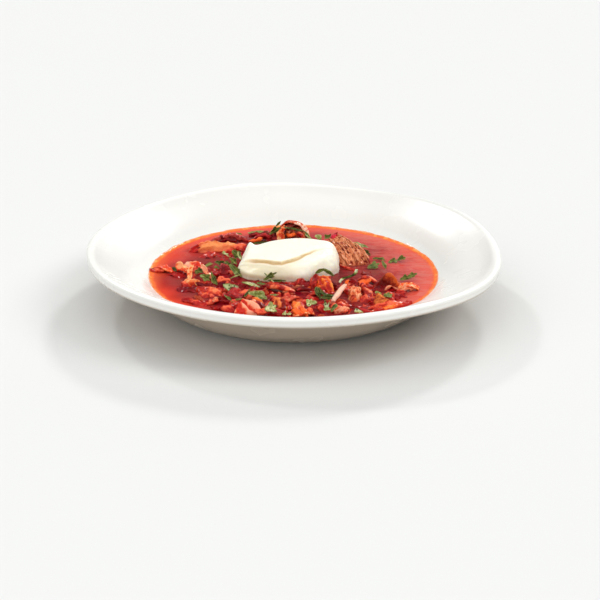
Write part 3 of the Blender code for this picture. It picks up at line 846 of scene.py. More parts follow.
def herb_scrap(rng, form, length, width):
    """A chopped scrap of parsley in the XY plane: folded, bent and twisted, with a toothed edge."""
    bm = turned([(ring, 0.0) for ring in LEAF_RINGS], LEAF_STEPS)
    points = [
        (angle + (rng.uniform(-7, 7) if index else 0.0), reach * rng.uniform(0.82, 1.12))
        for index, (angle, reach) in enumerate(LEAF_OUTLINES[form])
    ]
    mirror = rng.choice((-1, 1)) if form != "fingers" else 1
    teeth, phase = rng.uniform(0.03, 0.07), rng.uniform(0, 6.3)
    fold, bend = rng.uniform(0.1, 0.6), rng.uniform(-0.3, 0.2)
    twist, curl = rng.uniform(-0.6, 0.6), rng.uniform(-0.25, 0.25)
    map_grain(bm, lambda at: at.xy)
    rim = layer_of(bm, "edge")
    for vert in bm.verts:
        angle, reach = math.atan2(vert.co.y * mirror, vert.co.x), vert.co.xy.length
        vert[rim] = reach
        edge = around(points, math.degrees(angle)) + teeth * math.cos(15 * angle + phase)
        edge = 0.5 * (1.0 - reach) + edge * reach if reach < 1.0 else edge
        x, y = vert.co.x * edge * length / 2, vert.co.y * edge * width / 2
        z = fold * abs(y) + bend * x * x / max(length, 1.0) * 1.6 + twist * x * y / max(length, width)
        z += curl * abs(vert.co.y) ** 2 * width * 0.5
        vert.co = (x, y, z)
    soften(bm, 1)
    thicken(bm, 0.3)
    roughen(bm, ((0.5, 0.35),), phase)
    return bm


# ---------------------------------------------------------------- the food's places

# Pieces that stand out of the broth as their own solids, in millimetres. A cut has four corners, its bottom, its
# crown and its rounding; a strip has a route, its width, thickness and lean; a leaf has a route, its width, its
# curl and its tone.
CARROT_CUTS = {
    "carrot_chip": (((-26, -64, 19.0), (-27, -58, 21.6), (-18, -65, 18.6), (-19, -60, 20.4)), 13.0, 0.8),
    "carrot_cube": (((0, -73, 18.4), (-1, -64, 21.2), (8, -72, 18.6), (8, -65, 20.8)), 12.9, 0.8),
    "carrot_wedge": (((16, -39, 19.4), (15, -26, 25.6), (28, -42, 19.2), (25, -28, 25.6)), 12.7, 1.6),
}
CARROT_STRIPS = {
    "carrot_long": (((-76, 37.5, 16.4), (-67, 41, 21.0), (-50, 42, 20.4), (-32.5, 43.5, 17.2)), 10.5, 4.0, -36),
    "carrot_edge": (((47, -75, 17.2), (64, -71.5, 19.8), (77.2, -58.4, 17.5)), 5.0, 3.2, 10),
}
BEETROOT_CUTS = {
    "beetroot_left": (((-52, -8, 19.2), (-51, 3, 22.4), (-44, -8, 19.2), (-44, 2, 21.8)), 12.9, 0.8),
    "beetroot_low": (((-76, -45, 17.6), (-78, -36, 19.0), (-67, -44, 17.6), (-67, -35, 19.2)), 12.6, 0.8),
    "beetroot_dice": (((66, -53, 18.2), (65, -47, 20.6), (71, -52, 18.0), (71, -47, 19.6)), 13.0, 0.8),
    "beetroot_wedge": (((25, 40.5, 27.2), (27, 45, 28.6), (31.5, 39, 27.6), (32.6, 44, 32.6)), 25.8, 0.2),
}
BEETROOT_STRIPS = {
    "beetroot_back": (((-63, 59, 16.6), (-57, 64, 22.4), (-45, 65.5, 21.4), (-34, 62.5, 17.6)), 6.0, 3.8, 15),
}
PEPPER_CUTS = {
    "pepper_back": (((-79, 3.5, 18.2), (-76.5, 11.5, 20.8), (-64, 0.5, 18.6), (-64.5, 9, 21.4)), 13.2, 1.8),
    "pepper_big": (((-62, -53, 18.4), (-65, -36, 20.6), (-46, -51, 18.6), (-46, -42, 21.6)), 12.4, 0.8),
    "pepper_fan": (((-38, -79, 19.0), (-33, -71, 26.0), (-17, -81, 18.8), (-23, -70, 25.0)), 12.5, 0.8),
    "pepper_tent": (((-14, -72, 18.6), (-12, -64, 24.2), (-3, -72, 18.8), (-4, -64, 23.8)), 12.6, 0.8),
    "pepper_skin": (((46.5, -56, 18.6), (46, -43, 24.0), (53, -55, 18.4), (52, -44, 21.6)), 12.9, 0.8),
}
PEPPER_STRIPS = {
    "pepper_strip": (((-17, -36, 18.8), (-8, -39, 22.2), (1, -44, 18.4)), 6.5, 3.4, 12),
    "pepper_sliver": (((44, -22, 18.2), (50, -20, 23.0), (56, -25, 18.4)), 5.5, 3.2, 10),
}
CABBAGE_LEAVES = {
    "cabbage_edge": (((-94, 2, 17.6), (-91, -2, 21.0), (-84, -7, 17.6)), 7, 60, 0.1),
    "cabbage_front": (((0, -82, 17.8), (6, -82, 21.6), (13, -79, 17.8)), 7, 80, 0.4),
    "cabbage_right": (((71, -35, 17.4), (76, -33, 21.8), (84, -35, 17.2)), 8, 50, 0.5),
    "cabbage_back": (((-10, 57, 19.4), (-10, 60, 28.0), (-6, 58.5, 30.0)), 7.5, 100, 0.45),
    "cabbage_crest": (
        ((-10.5, 66, 28.6), (-5.2, 64, 31.8), (0.1, 63.4, 32.0), (5.7, 62.5, 30.6), (8.6, 60, 27), (11.4, 58.2, 22)),
        5.2, 65, sliding(0.15, 0.6, -4.0, 5.0),
    ),
}
CABBAGE_RIB = (((26, -60, 18.6), (29, -54, 22.0), (35, -46, 25.6)), 4.2, 2.8, 20)
# A cut, gathered in pleats.
CABBAGE_CRUMPLE = (((-76, -32, 17.6), (-72.5, -28, 22.6), (-60.5, -33.5, 17.8), (-62.5, -29.5, 23.4)), 14.0, 1.8, 2)
POTATO_CUTS = {
    "potato_round": (((53.5, -34.5, 19.2), (54, -25, 25.2), (76, -35, 19.6), (73.5, -24.5, 24.8)), 12.8, 10.8, 8),
    "potato_wedge": (((50.5, -64, 17.6), (53.5, -57, 25.0), (66.5, -62, 17.8), (63.5, -60, 20.6)), 13.1, 0.3),
}
# The flake's corners, as a cut's, and how far the middle of its far side is pushed.
BEEF_CORNERS = ((24.0, 37.5, 26.8), (32.5, 44.0, 30.6), (34.0, 7.5, 18.6), (55.5, 14.0, 18.8))
BEEF_BOW = (2.6, 2.4, 1.0)
# The forked scrap of cabbage: leaves by route, width, curl and tone.
FORK_LEAVES = (
    (((-70.5, -21.5, 17.8), (-71.5, -16.5, 20.5), (-71.5, -12.5, 23.0), (-69.6, -9.5, 24.4)), 2.8, 90, 0.75),
    (((-72, -14, 22.4), (-74, -11.5, 24.0), (-75.5, -9.5, 24.2)), 2.6, 70, 0.8),
    (((-80, -4, 17.6), (-77, -6, 21.5), (-71, -11, 18.4)), 7.0, 60, 0.05),
)
# Thicker greens: route, width, curl, and the tone at each end and the middle.
GREEN_CURLS = (
    (((17, -37, 19.6), (16.5, -50, 21.4), (22, -61, 20.4), (30, -51, 20.2)), 3.4, 90, (0.05, 0.18, 0.1)),
    (((31.5, -28, 19.4), (33.5, -21, 22.0), (42, -29, 21.5), (43, -20.5, 26.4)), 3.0, 130, (1.2, 0.1, 1.1)),
    (((15.4, -20.5, 21.6), (17.5, -17, 26.0), (23, -19, 27.0), (27.5, -21, 21.0)), 2.2, 60, (0.15, 0.45, 0.2)),
    (((-13, -30, 19.6), (-17, -27, 22.4), (-19.5, -24.5, 24.6)), 1.2, 40, (0.95, 0.8, 0.4)),
)

# How limp the pepper is, and the two pieces that kept their shape: (ripples per millimetre, millimetres).
LIMP, PLUMP = ((0.16, 0.8), (0.4, 0.5), (1.1, 0.2)), ((0.14, 0.7), (0.4, 0.3), (1.1, 0.15))


def fan_folds(u, v):
    """Ridges that spread from the far left corner down to the near edge."""
    return 1.9 * math.sin(15.0 * math.atan2(1.12 - v, u + 0.25))


def wedge_folds(u, v):
    """Crossing ridges, lower towards the far side."""
    return 0.9 * math.sin(u * 13.0 + v * 5.0) * (1 - 0.4 * v) + 0.5 * math.sin(v * 15.0 - u * 4.0)


def pleats(u, v):
    """A leaf gathered in soft pleats."""
    return 1.1 * math.sin(u * 15.0 + 4.0 * math.sin(v * 4.0)) + 0.6 * math.sin(v * 13.0 - u * 9.0)


# What sets a piece apart from its maker's usual way. Folds are millimetres of lift by share along and across.
WAYS = {
    "beetroot_left": {"folds": lambda u, v: 0.5 * math.sin(v * 9.0 + u * 2.0)},
    "beetroot_wedge": {"rounding": 1, "lumps": ((0.4, 0.2),)},
    "beetroot_back": {"taper": 0.6, "wander": 1.5, "lumps": ((0.2, 1.1), (0.6, 0.6))},
    "carrot_chip": {"folds": lambda u, v: 0.6 * math.sin(v * 8.0 + u * 3.0)},
    "carrot_cube": {"folds": lambda u, v: 0.5 * math.sin(u * 9.0 - v * 4.0)},
    "carrot_wedge": {"rounding": 4, "lumps": ((0.15, 1.7), (0.4, 1.0), (1.1, 0.35)), "folds": wedge_folds},
    "carrot_edge": {"taper": 0.6, "wander": 1.0, "lumps": ((0.2, 0.8), (0.6, 0.4))},
    "carrot_long": {
        "taper": 0.6, "wander": 1.2, "lumps": ((0.14, 1.4), (0.35, 0.8), (0.9, 0.35)),
        "folds": lambda u, v: 0.8 * math.sin(v * 10.0 + u * 6.0) + 0.35 * math.sin(u * 17.0 + v * 5.0),
    },
    "pepper_back": {"lumps": LIMP, "folds": lambda u, v: 0.5 * math.sin(u * 7.0 + v * 3.0)},
    "pepper_big": {
        "lumps": PLUMP, "folds": lambda u, v: 0.4 * math.sin(u * 7.0 + v * 5.0) + 0.2 * math.sin(v * 11.0 - u * 5.0),
    },
    "pepper_fan": {"lumps": PLUMP, "folds": fan_folds},
    "pepper_skin": {"lumps": LIMP, "folds": lambda u, v: 0.6 * math.sin(v * 8.0 + u * 3.0)},
    "pepper_tent": {"lumps": LIMP, "folds": lambda u, v: 1.3 * math.cos((u - 0.5) * 11.0) * (1.0 - 0.5 * v)},
    "potato_wedge": {"rounding": 1, "lumps": ((0.4, 0.2), (1.2, 0.15))},
}
# Tones from dark to pale, 0.5 where none is given: a number, or a tone by place where one end is dyed more, save where
# painted light is noted.
TONES = {
    "beetroot_back": 0.8,
    "carrot_edge": 0.3,
    "carrot_long": sliding(0.2, 0.6, -74.0, -66.0),
    "carrot_wedge": 0.42,
    "pepper_back": sliding(0.75, -0.5, -72.0, -66.0),
    "pepper_big": sliding(0.25, 0.35, -63.0, -52.0),
    # The fan's pale right is partly its paler flesh and partly a painted highlight.
    "pepper_fan": lambda place: 0.25 + 0.5 * smooth_step(-34.0, -27.0, place.x + 0.25 * (place.y + 75.0)),
    "pepper_sliver": 0.3,
    "pepper_strip": 0.4,
    # Painted light and shade: the round potato is painted dark on its left and light on its right.
    "potato_round": sliding(0.15, 0.75, 60.0, 71.0),
}


def lay_cuts(cuts, slot, look, own_looks):
    """Lays a table of cuts in one look, but for those with a look of their own."""
    for name, row in cuts.items():
        bm = cut_piece(name, *row, **WAYS.get(name, {}))
        lay(bm, name, TONES.get(name, 0.5), own_looks.get(name, look), slot)


def lay_strips(strips, slot, look, own_looks, **faces):
    """Lays a table of strips in one look, but for those with a look of their own."""
    for name, row in strips.items():
        bm = strip_piece(name, *row, **faces, **WAYS.get(name, {}))
        lay(bm, name, TONES.get(name, 0.5), own_looks.get(name, look), slot)


# Scraps with a place of their own: (kind, place, heading, length, width, thickness, tilt, tone).
LAID_SCRAPS = (
    ("pepper", (-94, -3, 18.0), -7, 11, 5.0, 2.5, 10, 0.50),
    ("pepper", (-47, -26, 20.0), 9, 9, 4.5, 2.5, 20, 0.80),
    ("cabbage", (-59.5, -12.5, 19.8), -62, 15, 3.8, 1.2, 25, 0.80),
    ("beetroot", (-54, -12, 19.6), -20, 7, 5.0, 2.5, 15, 0.75),
    ("beetroot", (-39, -52, 19.3), -6, 11, 9.0, 3.5, 15, 0.70),
    ("beetroot", (-22, -71, 19.8), 4, 6, 7.0, 5.0, 30, 0.50),
    ("pepper", (-20, -80, 19.5), 3, 9, 5.0, 2.5, 20, 0.80),
    ("pepper", (-41, -73, 18.6), -4, 8, 7.0, 3.0, 15, 0.70),
    ("pepper", (-51, -62, 18.9), 9, 8, 5.0, 2.5, 25, 0.55),
    ("cabbage", (-50, -62, 19.6), 42, 4, 2.4, 1.0, 35, 1.00),
    ("pepper", (-63, -61, 17.4), -28, 17, 5.0, 2.0, 5, 0.35),
    ("pepper", (-62, 28, 17.5), -17, 11, 7.0, 2.5, 5, 0.40),
    ("carrot", (-31, 58, 19.5), 12, 5, 2.4, 2.0, 30, 0.70),
    ("carrot", (-27, 58, 19.5), 18, 5, 2.4, 2.0, 30, 0.80),
    ("carrot", (3, -81, 19.5), 0, 4, 5.0, 4.0, 35, 0.80),
    ("carrot", (7, -81, 19.5), -31, 4, 4.5, 4.0, 35, 0.90),
    ("pepper", (11, -78, 19.0), 10, 4, 4.5, 3.5, 35, 0.80),
    ("beetroot", (-2, -35, 18.8), -15, 9, 2.6, 2.0, 25, 0.30),
    ("beef", (3, -37, 18.8), 20, 9, 2.6, 2.0, 25, 0.35),
    ("beetroot", (7, -40, 18.6), 6, 9, 2.4, 2.0, 25, 0.25),
    ("beef", (-2, -45, 18.4), -16, 8, 2.4, 2.0, 25, 0.50),
    ("pepper", (30, -73, 18.8), -31, 11, 4.0, 2.2, 20, 0.55),
    ("cabbage", (31, -75, 19.0), 30, 9, 3.0, 1.2, 20, 0.70),
    ("beetroot", (27, -33, 20.0), 6, 4, 4.5, 4.0, 30, 0.25),
    ("carrot", (35, -47, 26.0), 36, 4, 3.0, 2.0, 50, 0.80),
    ("cabbage", (65, -37.5, 18.2), 15, 11, 1.6, 1.0, 20, 0.70),
    ("pepper", (38, 3.5, 17.9), -35, 16, 1.5, 1.3, 10, 0.55),
    ("beetroot", (-27, 67, 19.4), -14, 15, 3.2, 3.0, 25, 0.45),
    ("beetroot", (-24, 63, 19.6), 8, 14, 2.8, 2.6, 25, 0.65),
    ("beetroot", (-17.5, 66, 20.6), 70, 12, 3.8, 3.0, 35, 0.60),
    ("beetroot", (-14.5, 62, 20.6), 84, 12, 4.4, 3.0, 35, 0.35),
    ("beef", (-20, 68, 20.4), -10, 9, 3.0, 2.6, 25, 0.30),
    ("carrot", (-2, 56, 25.0), 8, 6, 3.0, 2.4, 30, 0.70),
    ("beef", (-2.5, 62, 29.6), 2, 8, 4.5, 4.0, 40, 0.10),
    ("pepper", (4, 57, 24.5), -20, 5, 3.0, 2.4, 30, 0.60),
    ("pepper", (-57, -7, 19.0), 15, 10, 8.0, 3.4, 15, 0.15),
    ("beetroot", (-68, -41, 17.2), 4, 12, 6.0, 2.6, 6, 0.25),
    ("beetroot", (-60, -33, 18.6), -20, 12, 4.0, 3.0, 15, 0.15),
    ("pepper", (14, -30, 20.6), 80, 12, 5.0, 6.0, 20, 0.25),
    ("beetroot", (-79, -13, 17.2), -40, 16, 8.0, 1.8, 4, 0.95),
    ("beetroot", (59, -38.5, 18.0), 0, 15, 5.0, 2.2, 6, 0.10),
    ("pepper", (18, -72, 18.4), -53, 8, 4.0, 2.0, 20, 0.40),
    ("beetroot", (-68, 40, 18.5), 42, 10, 3.5, 2.5, 15, 0.40),
    ("beetroot", (-51, 58, 18.6), 12, 15, 3.2, 2.5, 15, 0.30),
    ("pepper", (-38, 42, 19.6), 29, 9, 4.5, 2.5, 25, 0.70),
    ("pepper", (-2, -72, 19.0), -54, 5, 4.0, 3.0, 30, 0.45),
    ("carrot", (48, -28, 20.5), 21, 9, 3.5, 2.4, 30, 0.70),
    ("pepper", (62, -65, 18.0), 17, 25, 4.0, 2.4, 10, 0.60),
    ("beetroot", (64, -34, 18.0), -21, 12, 4.0, 2.4, 10, 0.30),
    ("cabbage", (76, -37, 19.5), 20, 9, 4.0, 1.2, 30, 0.90),
    ("potato", (49, -6, 17.8), -43, 5, 3.0, 2.0, 10, 0.20),
)

# Where the loose shreds lie: (left, right, near, far, how many, the palest tone, shares of each kind).
STEW_BEDS = (
    (-76, -34, -74, -30, 22, 0.6, {"beetroot": 4, "carrot": 1, "pepper": 5}),
    (-36, 20, -90, -44, 38, 0.8, {"beetroot": 3, "carrot": 2, "cabbage": 1, "pepper": 8}),
    (-34, 30, -46, -24, 44, 0.35, {"beetroot": 8, "carrot": 1, "pepper": 3, "beef": 4}),
    (18, 84, -80, -24, 32, 0.75, {"beetroot": 3, "carrot": 1, "cabbage": 1, "pepper": 6}),
    (-74, -38, -30, 24, 18, 0.8, {"beetroot": 5, "pepper": 4}),
    (-62, -20, 26, 70, 16, 0.7, {"beetroot": 6, "carrot": 1, "pepper": 2}),
    (-20, 22, 34, 72, 18, 0.7, {"beetroot": 4, "carrot": 1, "pepper": 2, "beef": 4}),
)
SCRAP_SIZES = {
    "beetroot": ((10, 20), (2.2, 3.8), (1.8, 2.8)),
    "carrot": ((6, 13), (2.6, 4.4), (2.2, 3.2)),
    "cabbage": ((9, 18), (4.0, 8.0), (0.8, 1.3)),
    "pepper": ((6, 12), (4.0, 7.5), (2.6, 4.2)),
    "beef": ((5, 12), (1.8, 3.2), (1.5, 2.4)),
}

# How many places are tried for each loose shred, of which the emptiest is taken.
STREWING_TRIES = 7
# The flake of beef: its faces along, across and deep, its grain in millimetres, and its loose strands.
FLAKE_FACES, FLAKE_GRAIN = (80, 72, 6), (40.0, 22.0)
STRANDS, STRAND_SEED = 26, 5
HERB_SEED = 23

# Chopped parsley: (form, place, heading, length, width, tilt, shade).
HERBS = (
    ("leaflet", (-84, -3, 18.2), 6, 7, 5.0, 10, 0.15),
    ("leaflet", (-65, -10, 20.0), 27, 7, 5.0, 35, 0.20),
    ("leaflet", (-60, -22, 20.5), -38, 8, 5.5, 35, 0.45),
    ("blade", (-53, -27, 21.0), -67, 10, 4.5, 45, 0.20),
    ("blade", (-59, 0, 21.0), 29, 6, 3.0, 30, 0.65),
    ("toothed", (-54, -2, 20.0), -20, 4, 2.5, 25, 0.40),
    ("leaflet", (-52, 5, 20.5), -28, 8, 4.0, 30, 0.15),
    ("leaflet", (-46, 1, 21.5), -49, 7, 4.0, 40, 0.15),
    ("leaflet", (-40, -10, 21.0), -51, 12, 5.5, 40, 0.40),
    ("blade", (-40, -20, 20.0), 31, 9, 2.2, 20, 0.65),
    ("fingers", (-50, 26, 20.5), -32, 8, 3.5, 30, 0.80),
    ("leaflet", (-41, 15, 24.0), -44, 8, 5.5, 55, 0.25),
    ("blade", (-38, 14, 23.0), -66, 6, 3.5, 55, 0.70),
    ("leaflet", (-43, 9, 21.5), -44, 7, 4.0, 40, 0.30),
    ("leaflet", (-41, -44, 21.0), -32, 13, 7.0, 35, 0.90),
    ("blade", (-42, -59, 19.8), -52, 8, 2.5, 10, 0.35),
    ("blade", (-36, -61, 19.8), 29, 8, 2.5, 10, 0.35),
    ("blade", (-28, -35, 21.0), -20, 11, 4.0, 30, 0.95),
    ("blade", (-21, -32, 19.8), -15, 6, 3.0, 20, 0.30),
    ("leaflet", (-16, -27, 23.0), 31, 9, 3.5, 55, 0.22),
    ("blade", (-11, -26, 19.2), 0, 11, 2.5, 30, 0.08),
    ("leaflet", (-23, -57, 21.5), -24, 14, 6.5, 30, 0.50),
    ("blade", (-30, -51, 20.5), 59, 6, 3.0, 30, 0.25),
    ("toothed", (-14, -80, 22.0), -35, 9, 8.0, 40, 0.90),
    ("blade", (-12, -55, 21.0), -5, 5, 2.2, 30, 0.75),
    ("leaflet", (-5, -84, 20.0), 0, 3, 2.5, 35, 0.75),
    ("leaflet", (-2, -84, 20.0), 10, 3, 2.5, 35, 0.80),
    ("blade", (-42, 74, 19.0), -21, 5, 1.8, 20, 0.75),
    ("blade", (-27, 72, 21.0), 3, 16, 2.8, 25, 0.72),
    ("blade", (-26, 48, 21.5), 6, 16, 2.4, 40, 0.08),
    ("leaflet", (-15, 63, 25.0), 33, 10, 5.0, 45, 0.15),
    ("blade", (-12, 64, 31.0), 45, 5, 2.4, 60, 0.25),
    ("blade", (0, 46, 33.0), -13, 14, 2.6, 40, 0.12),
    ("blade", (9, 46, 29.0), -49, 7, 1.8, 40, 0.40),
    ("blade", (11, 49, 26.0), -40, 6, 2.2, 40, 0.85),
    ("leaflet", (18, 56, 23.5), -36, 6, 4.6, 45, 0.70),
    ("fingers", (25, 50, 25.0), 12, 11, 6.0, 50, 0.32),
    ("toothed", (47.5, 40, 23.0), -14, 15, 4.2, 35, 0.78),
    ("leaflet", (52, 34, 19.5), -31, 8, 3.6, 35, 0.10),
    ("leaflet", (61, 21, 18.2), -16, 9, 4.0, 5, 0.30),
    ("leaflet", (56, 5, 19.2), 27, 10, 6.0, 30, 0.35),
    ("blade", (61.5, -18, 28.5), -62, 6, 2.8, 70, 0.62),
    ("leaflet", (71, 18, 18.6), 18, 7, 4.5, 25, 0.30),
    ("leaflet", (77, 21, 18.8), 24, 7, 4.0, 30, 0.30),
    ("leaflet", (76, -19, 19.0), 26, 7, 5.0, 30, 0.35),
    ("leaflet", (81, -14, 19.5), 27, 7, 4.5, 35, 0.40),
    ("blade", (23, -30, 27.0), -30, 8, 2.6, 45, 0.15),
    ("blade", (18, -25, 26.0), 29, 6, 3.0, 45, 0.15),
    ("blade", (17, -49, 20.5), -78, 9, 5.0, 30, 0.08),
    ("leaflet", (22, -56, 20.0), -3, 8, 4.5, 35, 0.10),
    ("toothed", (11, -71, 22.0), 10, 8, 6.5, 35, 0.85),
    ("fingers", (21, -79, 21.5), -7, 6, 9.0, 40, 0.85),
    ("blade", (26, -77, 22.0), 58, 6, 3.0, 45, 0.30),
    ("toothed", (41, -80, 20.5), -12, 7, 3.6, 30, 0.90),
    ("blade", (56, -49, 20.5), -31, 4, 3.8, 35, 0.65),
    ("leaflet", (62, -53, 20.5), 15, 6, 4.0, 35, 0.45),
)


# ---------------------------------------------------------------- settings

def colour_of(name, description, default):
    """A colour that the panel offers."""
    return bpy.props.FloatVectorProperty(
        name=name, description=description, default=default, subtype="COLOR", size=3, min=0.0, max=1.0,
    )


def light_of(name, description, default):
    """A light's strength that the panel offers."""
    return bpy.props.FloatProperty(name=name, description=description, default=default, min=0.0, max=20.0)


class PlateSettings(bpy.types.PropertyGroup):
    """The soup plate's glaze."""

    glaze: colour_of("Glaze", "Colour of the glaze", (0.80, 0.80, 0.768))
    # Painted light: the low wall of the well is painted brighter and greener than the glaze.
    painted_wall_light: colour_of("Pooled", "Where the glaze has run together low in the well", (0.83, 0.92, 0.89))
    # Painted highlight along the top of the lip.
    lip: colour_of("Lip", "Thicker glaze on the lip", (0.89, 0.89, 0.855))
    # Painted shade on the underside below the rim.
    under: colour_of("Underside", "Thin, warmer glaze below the rim", (0.54, 0.45, 0.36))
    gloss: bpy.props.FloatProperty(
        name="Dullness", description="Roughness of the glaze", default=0.24, min=0.0, max=1.0, subtype="FACTOR",
    )
    steps: bpy.props.IntProperty(name="Steps", description="Faces round the plate", default=168, min=32, max=400)


class BrothSettings(bpy.types.PropertyGroup):
    """The broth's colours."""

    deep: colour_of("Deep", "Where it is darkest", (0.20, 0.002, 0.008))
    body: colour_of("Body", "Over most of it", (0.42, 0.008, 0.013))
    bright: colour_of("Bright", "Where it is palest", (0.56, 0.024, 0.020))
    stewed: colour_of("Stewed", "Between the shreds", (0.11, 0.001, 0.006))
    warm: colour_of("Warm", "Towards the wall", (0.66, 0.050, 0.022))
    # Yellow flecks on the bright edge, partly fat and partly painted highlights.
    rim: colour_of("Rim", "Where it thins on the wall", (0.86, 0.175, 0.040))
    fat_flecks_and_glints: colour_of("Gold", "Flecks on the bright edge", (0.95, 0.42, 0.10))
    # Painted reflection: the pale pink sheen painted over the broth.
    painted_sheen: colour_of("Film", "Where a film of fat dulls it", (0.56, 0.165, 0.125))
    thin: colour_of("Thin", "Its last trace on the wall", (0.95, 0.58, 0.38))
    oil: colour_of("Oil", "Beads of fat", (0.74, 0.12, 0.03))
    rim_width: bpy.props.FloatProperty(
        name="Rim width", description="Width of the bright edge", default=0.0022, min=0.0, max=0.02,
        subtype="DISTANCE", unit="LENGTH",
    )


class StewSettings(bpy.types.PropertyGroup):
    """The loose shreds between the pieces."""

    amount: bpy.props.FloatProperty(
        name="Amount", description="Share of the usual number of loose shreds", default=1.0, min=0.0, max=2.0,
        subtype="FACTOR",
    )
    seed: bpy.props.IntProperty(name="Seed", description="Another number lays the shreds anew", default=11, min=0)


class VegetableSettings(bpy.types.PropertyGroup):
    """Colours of the cooked vegetables."""

    carrot: colour_of("Carrot", "Cooked carrot", (0.84, 0.12, 0.018))
    beetroot: colour_of("Beetroot", "Cooked beetroot", (0.20, 0.006, 0.009))
    pepper: colour_of("Pepper", "Cooked red pepper and tomato", (0.68, 0.055, 0.020))
    cabbage: colour_of("Cabbage", "Cabbage dyed by the broth", (0.86, 0.17, 0.045))
    potato: colour_of("Potato", "Potato dyed by the broth", (0.31, 0.024, 0.005))


class MeatSettings(bpy.types.PropertyGroup):
    """Colours of the stewed beef."""

    beef: colour_of("Beef", "Fibres of the flaked beef", (0.58, 0.150, 0.055))
    seam: colour_of("Seam", "Between the fibres", (0.15, 0.016, 0.009))


class CreamSettings(bpy.types.PropertyGroup):
    """The spoonful of sour cream."""

    cream: colour_of("Cream", "Sour cream", (0.95, 0.90, 0.755))
    # Painted shade on the left side under the sheet.
    painted_side_shade: colour_of("Ivory", "On its slumped side", (0.66, 0.585, 0.40))
    shade: colour_of("Fold", "In its folds and low on its sides", (0.66, 0.46, 0.20))
    stain: colour_of("Stain", "Where the broth wicks up", (0.88, 0.30, 0.16))
    grain: bpy.props.FloatProperty(
        name="Grain", description="Side of the voxels it is shaped from", default=0.0005, min=0.0003, max=0.003,
        subtype="DISTANCE", unit="LENGTH", precision=5,
    )


class HerbSettings(bpy.types.PropertyGroup):
    """The chopped parsley."""

    dark_leaf: colour_of("Dark leaf", "Upper side in shade", (0.024, 0.031, 0.001))
    leaf: colour_of("Leaf", "Upper side", (0.14, 0.155, 0.022))
    blue_leaf: colour_of("Blue leaf", "Waxy bloom on some scraps", (0.12, 0.20, 0.090))
    pale_leaf: colour_of("Pale leaf", "Underside and veins", (0.37, 0.39, 0.13))
    stalk: colour_of("Stalk", "White ends of spring onion", (0.70, 0.74, 0.48))
    yellow_leaf: colour_of("Yellow leaf", "Faded scraps", (0.66, 0.64, 0.30))


class StageSettings(bpy.types.PropertyGroup):
    """The plain studio round the plate."""

    floor: colour_of("Floor", "Colour of the floor", (0.712, 0.722, 0.718))
    overhead: light_of("Overhead", "Strength of the wide light above", 2.2)
    key: light_of("Key", "Strength of the light from the right", 1.12)
    window: light_of("Window", "Strength of the small bright lights behind", 0.85)
    sheen: light_of("Sheen", "Strength of the low light that the broth reflects", 0.15)
    fill: light_of("Fill", "Strength of the light all round", 0.18)


# Far lights: (name, direction, setting and share of it for the strength, degrees of the sky that it fills).
SUNS = (
    ("overhead", (-0.28, -0.48, 1.0), "overhead", 1.0, 105),
    ("key", (0.85, -0.08, 0.80), "key", 1.0, 28),
    ("window", (0.30, 0.72, 0.58), "window", 1.0, 8),
    ("glint", (-0.42, 0.62, 0.66), "window", 0.6, 6),
    ("sheen", (0.34, 0.88, 0.36), "sheen", 1.0, 30),
)
# The camera: metres away, degrees above the floor and of roll, lens and sensor in millimetres, and how many metres
# it stands to the right and up of where it would look straight at the plate's middle.
CAMERA_DISTANCE = 0.75
CAMERA_TURNS = (22.1, 0.375)
CAMERA_LENS = (63.78, 36.0)
CAMERA_SHIFT = (0.00466, -0.00452)


# ---------------------------------------------------------------- makers

class BORSCHT_OT_plate(bpy.types.Operator):
    """Turn the wide-rimmed soup plate"""

    bl_idname = "borscht.plate"
    bl_label = "Soup plate"

    def execute(self, context):
        settings = context.scene.borscht_plate
        bm = turned(eased_section(PLATE_SECTION), settings.steps)
        for vert in bm.verts:
            radius = math.hypot(vert.co.x, vert.co.y)
            share = smooth_step(WAVE_START, WAVE_END, radius)
            if not share:
                continue
            angle = math.atan2(vert.co.y, vert.co.x)
            reach = 1.0 + share * waves(REACH_WAVES, angle) / radius
            vert.co.x *= reach
            vert.co.y *= reach
            vert.co.z += share * rim_lift(angle)
        bmesh.ops.recalc_face_normals(bm, faces=bm.faces)
        bm.normal_update()
        under = layer_of(bm, "under")
        # The skin that faces down, outside the foot, where shade is painted.
        for vert in bm.verts:
            vert[under] = smooth_step(0.15, -0.6, vert.normal.z) * smooth_step(80.0, 90.0, vert.co.xy.length)
        finish_piece(bm, "plate", glaze(settings), "porcelain", ["soup_plate"], sharp=60)
        return {"FINISHED"}


